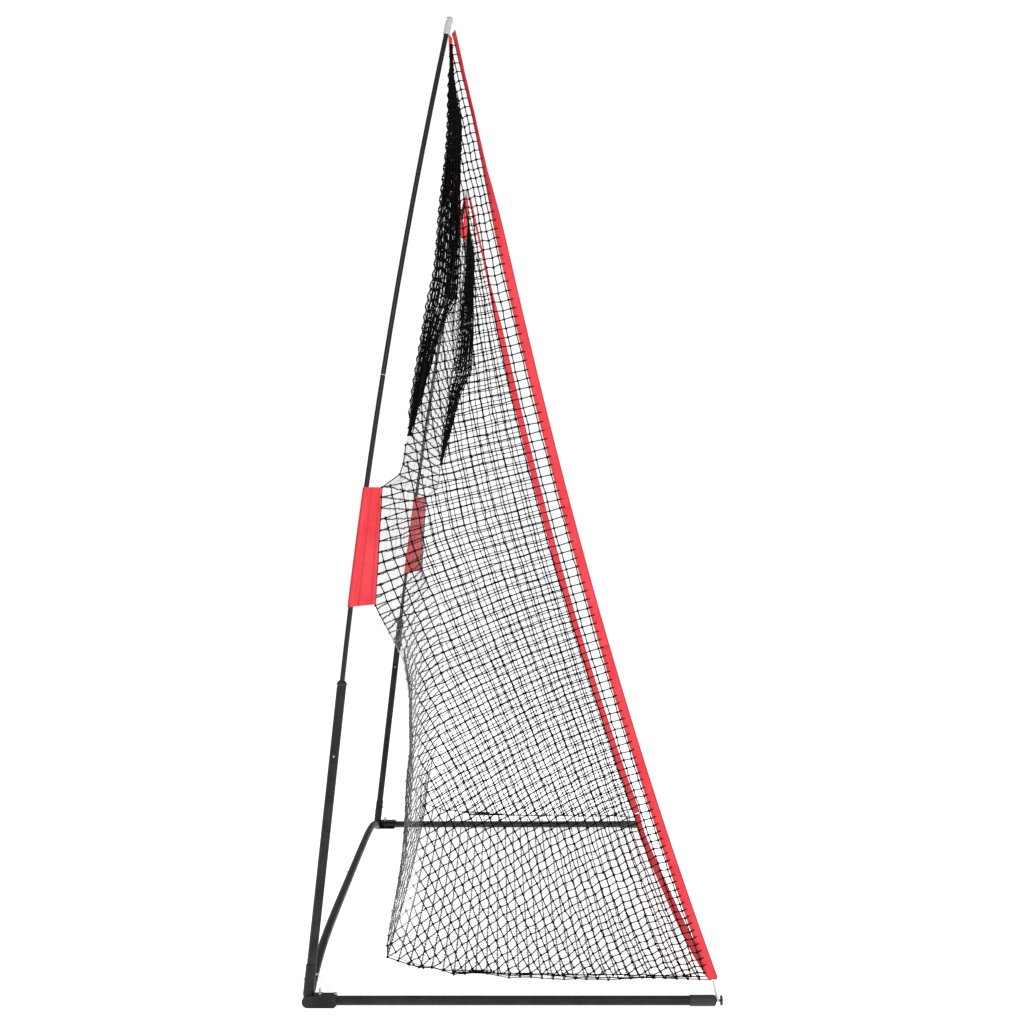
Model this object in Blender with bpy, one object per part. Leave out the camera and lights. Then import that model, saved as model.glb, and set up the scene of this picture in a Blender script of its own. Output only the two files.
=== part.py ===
"""Pitching target net: a folding steel base, two bowed poles and a ball-catching net bag.

Metres, +Z up.  The mouth of the net faces -Y, the left side is -X, and the origin is
the centre of the footprint on the floor.
"""
import math

import bmesh
import bpy
from mathutils import Vector

# ---- overall sizes ----
HALF_WIDTH = 1.020          # centre plane to the arm and upright axes, at the floor
DEPTH = 0.918               # rear of the brackets to the front face of the arm ends
HEIGHT = 2.180              # floor to the top of the pole tips

# ---- steel tube ----
TUBE_OD = 0.0208
TUBE_WALL = 0.0015
FIT = 0.0003                # gap between pieces that touch

# ---- corner brackets ----
PLATE = 0.0022              # thickness of the bracket's top and bottom plates
BRACKET_LENGTH = 0.076
BRACKET_SIDE = 0.0155       # arm axis to either side of the bracket
BRACKET_OUTER_WALL = 0.0027
BRACKET_CHAMFER = 0.006
STUB_WALL = 0.0012
STUB_TOP = 0.093
PIVOT_FROM_BAR = 0.0258     # rear bar axis to the arm's hinge axis

# ---- uprights ----
LEAN_FORWARD = 0.112        # run forward for each metre of rise
LEAN_OUT = 0.045            # run outward for each metre of rise
TUBE_TOP = 0.703
BUTTON_Z = 0.060
BUTTON_R = 0.0029
BUTTON_PROUD = 0.0022
STOP_PIN_R = 0.002

# ---- poles ----
POLE_OD = 0.011
POLE_WALL = 0.0017
POLE_IN_TUBE = 0.150
JOINT_Z = 1.378             # where the two pole lengths meet
JOINT_NOTCH = 0.0020
FERRULE_HALF = 0.040
TIP_FROM_REAR = 0.321       # rear of the brackets to the pole tips
TIP_INSET = 0.058           # how far the tips stand inboard of the uprights' feet

# ---- end fittings: a cap, a thin neck and a disc that a loop hooks behind ----
CAP_WALL = 0.0015
ARM_CAP_LENGTH = 0.057
ARM_NECK_R = 0.0025
ARM_NECK_LENGTH = 0.0095
ARM_DISC_R = 0.011
ARM_DISC = 0.0045
TIP_CAP_LENGTH = 0.034
TIP_CAP_R = 0.0076
TIP_NECK_R = 0.0022
TIP_NECK_LENGTH = 0.0045
TIP_DISC_R = 0.0072
TIP_DISC = 0.0030

# ---- rear bar ----
BAR_RISE = 0.052            # how far the middle arches above the ends
BAR_BEND_INSET = 0.025      # upright axis to the start of the arch
COUPLER_HALF = 0.060
BAR_BUTTON_X = 0.030

# ---- arm hinge and lock ----
BOLT_R = 0.0030
BOLT_HEAD_R = 0.0052
BOLT_TOP = 0.039
NUT_R = 0.0055
NUT_HEIGHT = 0.0045
HOLE_CLEARANCE = 0.0003
TAIL_BEHIND_PIVOT = 0.0055
TAIL_PLUG_LENGTH = 0.030
LOCK_FROM_FRONT = 0.0045    # front of the bracket to the lock pin's axis
LOCK_PIN_R = 0.0018
LOCK_HEAD_R = 0.0040
LOCK_HEAD = 0.0045
WIRE_R = 0.0007
ANCHOR_Z = 0.071
ANCHOR_R = 0.0030
ANCHOR_LENGTH = 0.0030

# ---- net, its border tape and the sleeves that hold it to the poles ----
TAPE_WIDTH = 0.022
TAPE = 0.003
SHEET = 0.003
TOP_CORNER_DROP = 0.031     # pole tip to the mouth's top corners
TOP_SAG = 0.275
SIDE_BOW = 0.190
SIDE_INSET_TOP = 0.068      # upright axis to the side tape, at the top
SIDE_INSET_BOTTOM = 0.018
FRONT_CORNER_Z = 0.055
FRONT_CORNER_BACK = 0.018   # front of the arm ends to the mouth's bottom corners
BOTTOM_BOW = 0.016
TAPE_END_GAP = 0.010
SIDE_NET_INSET = 0.060      # upright axis to the net's side panels
BAG_REAR = 0.187            # rear of the brackets to the back of the bag
BAG_WAIST_Z = 1.050
BAG_REAR_Z = 0.112
BAG_FRONT_Z = 0.060
PANEL_GAP = 0.004
NET_CLEARANCE = 0.035       # mouth tape to the side panels' front edge
SLEEVE_LOW = 0.875
SLEEVE_HIGH = 1.134
SLEEVE_R = 0.0076
SLEEVE_GAP = 0.0007
SLEEVE_WEB = 0.003
SLEEVE_REACH_LOW = 0.061    # rear fold to front edge, at the bottom
SLEEVE_REACH_HIGH = 0.042
LOOP_CORD = 0.0022

# ---- places worked out from the sizes ----
BRACKET_HEIGHT = TUBE_OD + 2 * (PLATE + FIT)
AXIS_Z = BRACKET_HEIGHT / 2
REAR_Y = DEPTH / 2
FRONT_Y = -DEPTH / 2
BAR_Y = REAR_Y - BRACKET_HEIGHT / 2
PIVOT_Y = BAR_Y - PIVOT_FROM_BAR
BRACKET_FRONT_Y = REAR_Y - BRACKET_LENGTH
LOCK_Y = BRACKET_FRONT_Y + LOCK_FROM_FRONT
TUBE_R = TUBE_OD / 2
TUBE_BORE = TUBE_R - TUBE_WALL
POLE_R = POLE_OD / 2
POLE_BORE = POLE_R - POLE_WALL
STUB_BORE = TUBE_R + FIT
STUB_R = STUB_BORE + STUB_WALL
TIP_Y = REAR_Y - TIP_FROM_REAR
TIP_X = HALF_WIDTH - TIP_INSET
TIP_FITTING = TIP_CAP_LENGTH + TIP_NECK_LENGTH + TIP_DISC
TIP_BLIND = TIP_CAP_LENGTH - CAP_WALL
TOP_CORNER_Z = HEIGHT - TOP_CORNER_DROP
FRONT_CORNER_Y = FRONT_Y + FRONT_CORNER_BACK
BAG_Y = REAR_Y - BAG_REAR
SIDE_NET_X = HALF_WIDTH - SIDE_NET_INSET

SIDES = {"left": -1, "right": 1}
STEEL_SIDES = 16
POLE_SIDES = 12
TRIM_SIDES = 10


# ---- scene and materials ----
def clear_scene():
    for obj in list(bpy.data.objects):
        bpy.data.objects.remove(obj)


def make_material(name, colour, roughness, metallic=0.0):
    mat = bpy.data.materials.new(name)
    mat.use_nodes = True
    shader = mat.node_tree.nodes["Principled BSDF"]
    shader.inputs["Base Color"].default_value = (*colour, 1.0)
    shader.inputs["Roughness"].default_value = roughness
    shader.inputs["Metallic"].default_value = metallic
    return mat


def make_body(name, origin):
    empty = bpy.data.objects.new(name, None)
    empty.location = origin
    bpy.context.scene.collection.objects.link(empty)
    return empty


def finish(name, bm, mat, body=None):
    """Turn a bmesh in world coordinates into an object that hangs on its body's origin."""
    bmesh.ops.recalc_face_normals(bm, faces=bm.faces)
    origin = body.location.copy() if body else Vector()
    bmesh.ops.translate(bm, verts=bm.verts, vec=-origin)
    mesh = bpy.data.meshes.new(name)
    bm.to_mesh(mesh)
    bm.free()
    mesh.shade_smooth()
    mesh.set_sharp_from_angle(angle=math.radians(35))
    mesh.materials.append(mat)
    obj = bpy.data.objects.new(name, mesh)
    obj.parent = body
    bpy.context.scene.collection.objects.link(obj)
    return obj


# ---- shapes ----
def ring_faces(bm, ring_a, ring_b):
    count = len(ring_a)
    for i in range(count):
        j = (i + 1) % count
        bm.faces.new((ring_a[i], ring_a[j], ring_b[j], ring_b[i]))


def add_ring(bm, points):
    return [bm.verts.new(p) for p in points]


def loft(rings, hole_rings=None):
    """Skin closed rings into one body, capped at both ends, or bored by a second skin."""
    bm = bmesh.new()
    outer = [add_ring(bm, ring) for ring in rings]
    for a, b in zip(outer, outer[1:]):
        ring_faces(bm, a, b)
    if hole_rings is None:
        bm.faces.new(outer[0])
        bm.faces.new(outer[-1])
        return bm
    inner = [add_ring(bm, ring) for ring in hole_rings]
    for a, b in zip(inner, inner[1:]):
        ring_faces(bm, b, a)
    ring_faces(bm, inner[0], outer[0])
    ring_faces(bm, outer[-1], inner[-1])
    return bm


def circle(centre, u, v, radius, sides):
    turns = [2 * math.pi * (i + 0.5) / sides for i in range(sides)]
    return [centre + radius * (math.cos(a) * u + math.sin(a) * v) for a in turns]


def path_frames(path, normal=None):
    """A pair of cross vectors at each point; a given normal keeps every ring flat to it."""
    frames = []
    for i, point in enumerate(path):
        ahead = path[min(i + 1, len(path) - 1)]
        behind = path[max(i - 1, 0)]
        along = normal or (ahead - behind).normalized()
        side = Vector((1, 0, 0)) if abs(along.x) < 0.7 else Vector((0, 1, 0))
        u = (side - side.dot(along) * along).normalized()
        frames.append((point, u, along.cross(u)))
    return frames


def tube(path, radius, bore=None, sides=STEEL_SIDES, normal=None):
    frames = path_frames(path, normal)
    outer = [circle(p, u, v, radius, sides) for p, u, v in frames]
    if bore is None:
        return loft(outer)
    return loft(outer, [circle(p, u, v, bore, sides) for p, u, v in frames])


def turned(profile, base, along, sides):
    """Turn a profile of (radius, distance along) about an axis; it starts and ends at zero
    radius, or closes on itself when it does neither."""
    along = along.normalized()
    _, u, v = path_frames([base, base + along])[0]
    bm = bmesh.new()
    rings = []
    for radius, distance in profile:
        centre = base + along * distance
        if radius == 0:
            rings.append([bm.verts.new(centre)])
        else:
            rings.append(add_ring(bm, circle(centre, u, v, radius, sides)))
    pairs = list(zip(rings, rings[1:]))
    if len(rings[0]) > 1:
        pairs.append((rings[-1], rings[0]))
    for a, b in pairs:
        if len(a) == 1 or len(b) == 1:
            fan_faces(bm, a, b)
        else:
            ring_faces(bm, a, b)
    return bm


def fan_faces(bm, ring_a, ring_b):
    point, ring = (ring_a[0], ring_b) if len(ring_a) == 1 else (ring_b[0], ring_a)
    for i, vert in enumerate(ring):
        bm.faces.new((point, vert, ring[(i + 1) % len(ring)]))


def prism(outline, offset):
    """Extrude a flat outline by an offset vector."""
    return loft([outline, [p + offset for p in outline]])


def ribbon(path, across, thickness, width=TAPE_WIDTH):
    """A flat tape along a path; across gives the thickness direction."""
    rings = []
    for i, point in enumerate(path):
        along = (path[min(i + 1, len(path) - 1)] - path[max(i - 1, 0)]).normalized()
        wide = along.cross(across).normalized() * (width / 2)
        thick = across * (thickness / 2)
        rings.append([point - wide - thick, point + wide - thick,
                      point + wide + thick, point - wide + thick])
    return loft(rings)


def stadium(centre, far, half, normal, sides=TRIM_SIDES):
    """Outline of a slot with round ends, from one centre to another."""
    along = (far - centre).normalized()
    side = normal.cross(along).normalized()
    points = []
    for middle, start in ((far, -math.pi / 2), (centre, math.pi / 2)):
        for i in range(sides // 2 + 1):
            a = start + math.pi * i / (sides // 2)
            points.append(middle + half * (math.cos(a) * along + math.sin(a) * side))
    return points


def boolean(target, bm, operation, label):
    """Cut with or add a helper shape, which stays hidden in the file."""
    helper = finish(f"{target.name}_{label}", bm, target.data.materials[0], None)
    helper.hide_render = True
    helper.display_type = "WIRE"
    mod = target.modifiers.new(label, "BOOLEAN")
    mod.operation = operation
    mod.solver = "EXACT"
    mod.object = helper


# ---- lines that the pieces follow ----
def upright_point(side, z):
    rise = z - BRACKET_HEIGHT
    return Vector((side * (HALF_WIDTH + LEAN_OUT * rise), BAR_Y - LEAN_FORWARD * rise, z))


def pole_point(side, z):
    """Straight in the upright, then bowed so that the tip lands at its own place."""
    point = upright_point(side, z)
    above = max(z - TUBE_TOP, 0.0)
    reach = HEIGHT - TUBE_TOP
    top = upright_point(side, HEIGHT)
    miss = Vector((side * TIP_X, TIP_Y, HEIGHT)) - top
    return point + miss * (above / reach) ** 2


def pole_path(side, low, high, count):
    return [pole_point(side, low + (high - low) * i / count) for i in range(count + 1)]


def bar_point(x):
    bend = HALF_WIDTH - BAR_BEND_INSET
    rise = BAR_RISE * (1 - (abs(x) / bend) ** 6) if abs(x) < bend else 0.0
    return Vector((x, BAR_Y, AXIS_Z + rise))


def side_tape_point(side, t):
    """The mouth's side edge: t is 0 at the top corner and 1 at the bottom corner."""
    top = Vector((HALF_WIDTH - SIDE_INSET_TOP, TIP_Y - TIP_CAP_R, TOP_CORNER_Z))
    low = Vector((HALF_WIDTH - SIDE_INSET_BOTTOM, FRONT_CORNER_Y, FRONT_CORNER_Z))
    point = top.lerp(low, t)
    point.y += SIDE_BOW * t ** 1.3 * (1 - t)
    point.x *= side
    return point


# ---- base ----
def bracket_outline(inset):
    """Side view of a corner bracket: a plate channel with a round nose over the rear bar."""
    radius = BRACKET_HEIGHT / 2 - inset
    front = BRACKET_FRONT_Y
    points = [(front, BRACKET_CHAMFER), (front + BRACKET_CHAMFER, 0.0)]
    if inset:
        front -= BRACKET_LENGTH / 4
        points = [(front, inset)]
    for i in range(9):
        a = -math.pi / 2 + math.pi * i / 8
        points.append((BAR_Y + radius * math.cos(a), AXIS_Z + radius * math.sin(a)))
    points.append((front, BRACKET_HEIGHT - inset))
    return points


def build_bracket(name, side, mat, body):
    inner = side * (HALF_WIDTH - BRACKET_SIDE)
    outer = side * (HALF_WIDTH + BRACKET_SIDE)
    outline = [Vector((inner, y, z)) for y, z in bracket_outline(0.0)]
    bracket = finish(name, prism(outline, Vector((outer - inner, 0, 0))), mat, body)
    stub = [upright_point(side, z) for z in (BRACKET_HEIGHT - PLATE / 2, STUB_TOP)]
    boolean(bracket, tube(stub, STUB_R, normal=Vector((0, 0, 1))), "UNION", "stub")
    bore = [upright_point(side, z) for z in (BRACKET_HEIGHT + FIT, STUB_TOP + PLATE)]
    boolean(bracket, tube(bore, STUB_BORE, normal=Vector((0, 0, 1))), "DIFFERENCE", "bore")
    wall = side * (HALF_WIDTH + BRACKET_SIDE - BRACKET_OUTER_WALL)
    open_side = side * (HALF_WIDTH - 2 * BRACKET_SIDE)
    channel = [Vector((open_side, y, z)) for y, z in bracket_outline(PLATE)]
    boolean(bracket, prism(channel, Vector((wall - open_side, 0, 0))), "DIFFERENCE", "channel")
    boolean(bracket, bolt_hole(side), "DIFFERENCE", "bolt_hole")
    pin_hole = [Vector((side * HALF_WIDTH, LOCK_Y, z)) for z in (AXIS_Z, STUB_TOP)]
    boolean(bracket, tube(pin_hole, LOCK_PIN_R + HOLE_CLEARANCE, sides=TRIM_SIDES),
            "DIFFERENCE", "lock_hole")
    boolean(bracket, button_hole(side), "DIFFERENCE", "button_hole")
    return bracket


def bolt_hole(side):
    """A bolt hole with a countersink in its underside."""
    base = Vector((side * HALF_WIDTH, PIVOT_Y, 0))
    hole = BOLT_R + HOLE_CLEARANCE
    sink = BOLT_HEAD_R + HOLE_CLEARANCE
    below = PLATE / 2
    profile = [(0, -below), (sink + below, -below), (hole, sink - hole),
               (hole, BOLT_TOP), (0, BOLT_TOP)]
    return turned(profile, base, Vector((0, 0, 1)), TRIM_SIDES)


def button_hole(side):
    centre = upright_point(side, BUTTON_Z)
    path = [centre, centre + Vector((0, 2 * STUB_R, 0))]
    return tube(path, BUTTON_R + HOLE_CLEARANCE, sides=TRIM_SIDES)


def button_profile(reach):
    """A flanged pin with a rounded end; reach is from the tube's axis to its tip."""
    start = TUBE_BORE - 0.0040
    flange = BUTTON_R + 0.0012
    return [(0, start), (flange, start), (flange, start + 0.0010), (BUTTON_R, start + 0.0010),
            (BUTTON_R, reach - 0.0012), (BUTTON_R - 0.0010, reach), (0, reach)]


def build_upright(side, word, mats, body):
    path = [upright_point(side, z) for z in (BRACKET_HEIGHT + 2 * FIT, TUBE_TOP)]
    flat = Vector((0, 0, 1))
    pipe = finish(f"upright_tube_{word}", tube(path, TUBE_R, TUBE_BORE, normal=flat),
                  mats["steel"], body)
    boolean(pipe, button_hole(side), "DIFFERENCE", "button_hole")
    stop = upright_point(side, TUBE_TOP - POLE_IN_TUBE - FIT - STOP_PIN_R)
    reach = Vector((TUBE_R + TUBE_WALL, 0, 0))
    boolean(pipe, tube([stop - reach, stop + reach], STOP_PIN_R + HOLE_CLEARANCE,
                       sides=TRIM_SIDES), "DIFFERENCE", "stop_hole")
    half = Vector((TUBE_R + FIT, 0, 0))
    finish(f"pole_stop_pin_{word}", tube([stop - half, stop + half], STOP_PIN_R,
                                         sides=TRIM_SIDES), mats["bright"], body)
    build_bush(side, word, mats["plastic"], body)


def build_bush(side, word, mat, body):
    """A moulded bush that closes the tube's top and guides the pole."""
    top = upright_point(side, TUBE_TOP)
    along = (upright_point(side, HEIGHT) - top).normalized()
    bore = POLE_R + 0.0004
    shank = TUBE_BORE - FIT
    rim = TUBE_R + 0.0006
    profile = [(bore, -0.020), (shank, -0.020), (shank, 0.0016), (rim, 0.0016),
               (rim, 0.0060), (rim - 0.0025, 0.0100), (bore + 0.0015, 0.0115), (bore, 0.0115)]
    finish(f"tube_top_bush_{word}", turned(profile, top, along, STEEL_SIDES), mat, body)


def build_buttons(bodies, mat):
    rear = Vector((0, 1, 0))
    for word, side in SIDES.items():
        bm = turned(button_profile(STUB_R + BUTTON_PROUD), upright_point(side, BUTTON_Z), rear,
                    TRIM_SIDES)
        finish(f"upright_button_{word}", bm, mat, bodies[f"upright_button_{word}"])
    bm = turned(button_profile(TUBE_R + BUTTON_PROUD), bar_point(BAR_BUTTON_X), rear, TRIM_SIDES)
    finish("bar_button", bm, mat, bodies["bar_button"])


def build_rear_bar(mats, body):
    end = HALF_WIDTH + BRACKET_SIDE - BRACKET_OUTER_WALL - FIT
    bend = HALF_WIDTH - BAR_BEND_INSET
    hole_path = [bar_point(BAR_BUTTON_X), bar_point(BAR_BUTTON_X) + Vector((0, TUBE_OD, 0))]
    for word, side in SIDES.items():
        steps = 12
        stations = [FIT + (bend - FIT) * math.sin(math.pi / 2 * i / steps)
                    for i in range(steps + 1)] + [end]
        path = [bar_point(side * x) for x in stations]
        bar = finish(f"rear_bar_{word}", tube(path, TUBE_R, TUBE_BORE), mats["steel"], body)
        if side > 0:
            boolean(bar, tube(hole_path, BUTTON_R + HOLE_CLEARANCE, sides=TRIM_SIDES),
                    "DIFFERENCE", "button_hole")
    outer = TUBE_BORE - FIT
    path = [bar_point(x) for x in (-COUPLER_HALF, 0.0, COUPLER_HALF)]
    coupler = finish("rear_bar_coupler", tube(path, outer, outer - TUBE_WALL), mats["bright"],
                     body)
    boolean(coupler, tube(hole_path, BUTTON_R + HOLE_CLEARANCE, sides=TRIM_SIDES),
            "DIFFERENCE", "button_hole")


def build_hinge_hardware(side, word, mats, body):
    base = Vector((side * HALF_WIDTH, PIVOT_Y, 0))
    up = Vector((0, 0, 1))
    head = BOLT_HEAD_R - BOLT_R
    profile = [(0, FIT), (BOLT_HEAD_R, FIT), (BOLT_R, FIT + head), (BOLT_R, BOLT_TOP - 0.0008),
               (BOLT_R - 0.0008, BOLT_TOP), (0, BOLT_TOP)]
    finish(f"arm_pivot_bolt_{word}", turned(profile, base, up, TRIM_SIDES), mats["bright"], body)
    low = BRACKET_HEIGHT + FIT
    hole = (BOLT_R + HOLE_CLEARANCE) / math.cos(math.pi / 6)
    profile = [(hole, low), (NUT_R, low), (NUT_R, low + NUT_HEIGHT), (hole, low + NUT_HEIGHT)]
    finish(f"arm_pivot_nut_{word}", turned(profile, base, up, 6), mats["bright"], body)


def build_wire(side, word, mats, body):
    """The lock pin's tether: an eyelet on the stub and a thin wire down to the pin's head."""
    centre = upright_point(side, ANCHOR_Z)
    front = Vector((0, -1, 0))
    start = STUB_R + FIT
    profile = [(0, start), (ANCHOR_R, start), (ANCHOR_R, start + ANCHOR_LENGTH / 2),
               (ANCHOR_R / 2, start + ANCHOR_LENGTH), (0, start + ANCHOR_LENGTH)]
    finish(f"wire_anchor_{word}", turned(profile, centre, front, TRIM_SIDES), mats["bright"],
           body)
    high = centre + front * (start + ANCHOR_LENGTH + FIT + WIRE_R)
    head_top = BRACKET_HEIGHT + LOCK_HEAD
    low = Vector((side * HALF_WIDTH, LOCK_Y + LOCK_HEAD_R + 3 * WIRE_R, head_top + 2 * WIRE_R))
    path = []
    steps = 8
    for i in range(steps + 1):
        t = i / steps
        path.append(high.lerp(low, t) + Vector((0, 0, -0.004 * 4 * t * (1 - t))))
    finish(f"lock_wire_{word}", tube(path, WIRE_R, sides=6), mats["bright"], body)


def build_lock_pin(side, word, mat, body):
    base = Vector((side * HALF_WIDTH, LOCK_Y, 0))
    low = BRACKET_HEIGHT + FIT
    top = low + LOCK_HEAD
    profile = [(0, BRACKET_HEIGHT - PLATE), (LOCK_PIN_R, BRACKET_HEIGHT - PLATE),
               (LOCK_PIN_R, low), (LOCK_HEAD_R, low), (LOCK_HEAD_R, top - 0.0010),
               (LOCK_HEAD_R - 0.0010, top), (0, top)]
    finish(f"lock_pin_{word}", turned(profile, base, Vector((0, 0, 1)), TRIM_SIDES), mat, body)


# ---- front arms ----
def build_arm(side, word, mats, body):
    x = side * HALF_WIDTH
    tail = PIVOT_Y + TAIL_BEHIND_PIVOT
    neck_start = FRONT_Y + ARM_DISC + ARM_NECK_LENGTH
    blind = neck_start + 0.0025
    path = [Vector((x, y, AXIS_Z)) for y in (tail, blind + FIT)]
    arm = finish(f"front_arm_{word}", tube(path, TUBE_R, TUBE_BORE), mats["steel"], body)
    drill = [Vector((x, PIVOT_Y, z)) for z in (-TUBE_R, STUB_TOP)]
    boolean(arm, tube(drill, BOLT_R + HOLE_CLEARANCE, sides=TRIM_SIDES), "DIFFERENCE", "drill")
    plug_path = [Vector((x, y, AXIS_Z)) for y in (tail, tail - TAIL_PLUG_LENGTH)]
    plug = finish(f"arm_tail_plug_{word}", tube(plug_path, TUBE_BORE - FIT), mats["plastic"],
                  body)
    boolean(plug, tube(drill, BOLT_R + HOLE_CLEARANCE, sides=TRIM_SIDES), "DIFFERENCE", "drill")
    build_arm_cap(x, word, neck_start, blind, mats["plastic"], body)
    build_bottom_loop(x, word, neck_start, mats["webbing"], body)


def build_arm_cap(x, word, neck_start, blind, mat, body):
    bore = TUBE_R + FIT
    rim = bore + CAP_WALL
    chamfer = 0.0035
    mouth = neck_start + ARM_CAP_LENGTH
    base = Vector((x, 0, AXIS_Z))
    profile = [(0, FRONT_Y), (ARM_DISC_R - 0.0010, FRONT_Y), (ARM_DISC_R, FRONT_Y + 0.0010),
               (ARM_DISC_R, FRONT_Y + ARM_DISC), (ARM_NECK_R, FRONT_Y + ARM_DISC),
               (ARM_NECK_R, neck_start), (rim - chamfer, neck_start), (rim, neck_start + chamfer),
               (rim, mouth), (bore, mouth), (bore, blind), (0, blind)]
    finish(f"arm_end_cap_{word}", turned(profile, base, Vector((0, 1, 0)), STEEL_SIDES), mat,
           body)


def build_bottom_loop(x, word, neck_start, mat, body):
    """A webbing loop hooked behind the disc, reaching up to the mouth's bottom corner."""
    normal = Vector((0, 1, 0))
    y = (neck_start + FRONT_Y + ARM_DISC) / 2
    hole = ARM_NECK_R + FIT
    low = Vector((x, y - LOOP_CORD, AXIS_Z))
    high = Vector((x, y - LOOP_CORD, FRONT_CORNER_Z - 0.0095 - hole - LOOP_CORD))
    outer = stadium(low, high, hole + LOOP_CORD, normal)
    inner = stadium(low, high, hole, normal)
    deep = normal * (2 * LOOP_CORD)
    bm = loft([outer, [p + deep for p in outer]], [inner, [p + deep for p in inner]])
    finish(f"bottom_loop_{word}", bm, mat, body)


# ---- poles ----
def build_pole(side, word, mats, body):
    foot = TUBE_TOP - POLE_IN_TUBE
    base, along = tip_axis(side)
    half = JOINT_NOTCH / 2
    end = base.z + along.z * (TIP_BLIND - FIT)
    lower = [pole_point(side, foot)] + pole_path(side, TUBE_TOP, JOINT_Z - half, 8)
    upper = pole_path(side, JOINT_Z + half, end, 8)
    finish(f"pole_lower_{word}", tube(lower, POLE_R, POLE_BORE, POLE_SIDES), mats["pole"], body)
    finish(f"pole_upper_{word}", tube(upper, POLE_R, POLE_BORE, POLE_SIDES), mats["pole"], body)
    spigot = pole_path(side, JOINT_Z - FERRULE_HALF, JOINT_Z + FERRULE_HALF, 4)
    finish(f"pole_ferrule_{word}", tube(spigot, POLE_BORE - FIT, sides=POLE_SIDES),
           mats["bright"], body)
    build_tip(side, word, mats["tip"], body)
    build_top_loop(side, word, mats["webbing"], body)
    build_sleeve(side, word, mats["tape"], body)


def tip_axis(side):
    """The mouth of a pole tip's cap and the tip's direction."""
    base = pole_point(side, HEIGHT - TIP_FITTING)
    return base, (pole_point(side, HEIGHT) - base).normalized()


def build_tip(side, word, mat, body):
    base, along = tip_axis(side)
    bore = POLE_R + FIT
    neck = TIP_CAP_LENGTH + TIP_NECK_LENGTH
    round_off = 0.0022
    profile = [(0, TIP_BLIND), (bore, TIP_BLIND), (bore, 0), (TIP_CAP_R, 0),
               (TIP_CAP_R, TIP_CAP_LENGTH - round_off), (TIP_CAP_R - round_off, TIP_CAP_LENGTH),
               (TIP_NECK_R, TIP_CAP_LENGTH), (TIP_NECK_R, neck), (TIP_DISC_R, neck),
               (TIP_DISC_R, neck + TIP_DISC * 0.6), (TIP_DISC_R - 0.0012, neck + TIP_DISC),
               (0, neck + TIP_DISC)]
    finish(f"pole_tip_{word}", turned(profile, base, along, POLE_SIDES), mat, body)


def build_top_loop(side, word, mat, body):
    """A webbing loop round the tip's neck, reaching forward over the cap."""
    base, along = tip_axis(side)
    front = Vector((0, -1, 0))
    front = (front - front.dot(along) * along).normalized()
    hole = TIP_NECK_R + FIT
    thick = TIP_NECK_LENGTH - 4 * FIT
    near = base + along * (TIP_CAP_LENGTH + 2 * FIT)
    far = near + front * 0.0100
    outer = stadium(near, far, hole + LOOP_CORD, along)
    inner = stadium(near, far, hole, along)
    up = along * thick
    bm = loft([outer, [p + up for p in outer]], [inner, [p + up for p in inner]])
    finish(f"top_loop_{word}", bm, mat, body)


def build_sleeve(side, word, mat, body):
    """A fabric sleeve round the pole whose front runs out to a flat web."""
    rings = []
    steps = 4
    for i in range(steps + 1):
        t = i / steps
        centre = pole_point(side, SLEEVE_LOW + (SLEEVE_HIGH - SLEEVE_LOW) * t)
        reach = SLEEVE_REACH_LOW + (SLEEVE_REACH_HIGH - SLEEVE_REACH_LOW) * t - SLEEVE_R
        rings.append(sleeve_outline(centre, reach))
    sleeve = finish(f"pole_sleeve_{word}", loft(rings), mat, body)
    bore = pole_path(side, SLEEVE_LOW - 0.01, SLEEVE_HIGH + 0.01, 4)
    boolean(sleeve, tube(bore, POLE_R + SLEEVE_GAP, sides=POLE_SIDES), "DIFFERENCE", "bore")


def sleeve_outline(centre, reach):
    half = SLEEVE_WEB / 2
    root = math.asin(half / SLEEVE_R)
    points = [Vector((half, -reach, 0))]
    arc = 2 * math.pi - 2 * root
    for i in range(POLE_SIDES + 1):
        a = -math.pi / 2 + root + arc * i / POLE_SIDES
        points.append(Vector((SLEEVE_R * math.cos(a), SLEEVE_R * math.sin(a), 0)))
    points.append(Vector((-half, -reach, 0)))
    return [centre + p for p in points]


# ---- border tape and net ----
def build_side_tapes(mat, body):
    steps = 12
    for word, side in SIDES.items():
        path = [side_tape_point(side, i / steps) for i in range(steps + 1)]
        finish(f"border_{word}", ribbon(path, Vector((1, 0, 0)), TAPE), mat, body)


def top_edge_z(x):
    half = HALF_WIDTH - SIDE_INSET_TOP
    return TOP_CORNER_Z - TOP_SAG * (1 - (x / half) ** 2)


def build_top_tape(mat, body):
    end = HALF_WIDTH - SIDE_INSET_TOP - TAPE_END_GAP
    steps = 16
    path = []
    for i in range(steps + 1):
        x = -end + 2 * end * i / steps
        path.append(Vector((x, TIP_Y, top_edge_z(x))))
    finish("border_top", ribbon(path, Vector((0, 1, 0)), TAPE), mat, body)


def build_bottom_tape(mat, body):
    end = HALF_WIDTH - SIDE_INSET_BOTTOM - TAPE_END_GAP
    steps = 10
    path = []
    for i in range(steps + 1):
        u = -1 + 2 * i / steps
        back = BOTTOM_BOW * (1 - u ** 4)
        path.append(Vector((end * u, FRONT_CORNER_Y + back, FRONT_CORNER_Z - TAPE)))
    finish("border_bottom", ribbon(path, Vector((0, 0, 1)), TAPE), mat, body)


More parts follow.
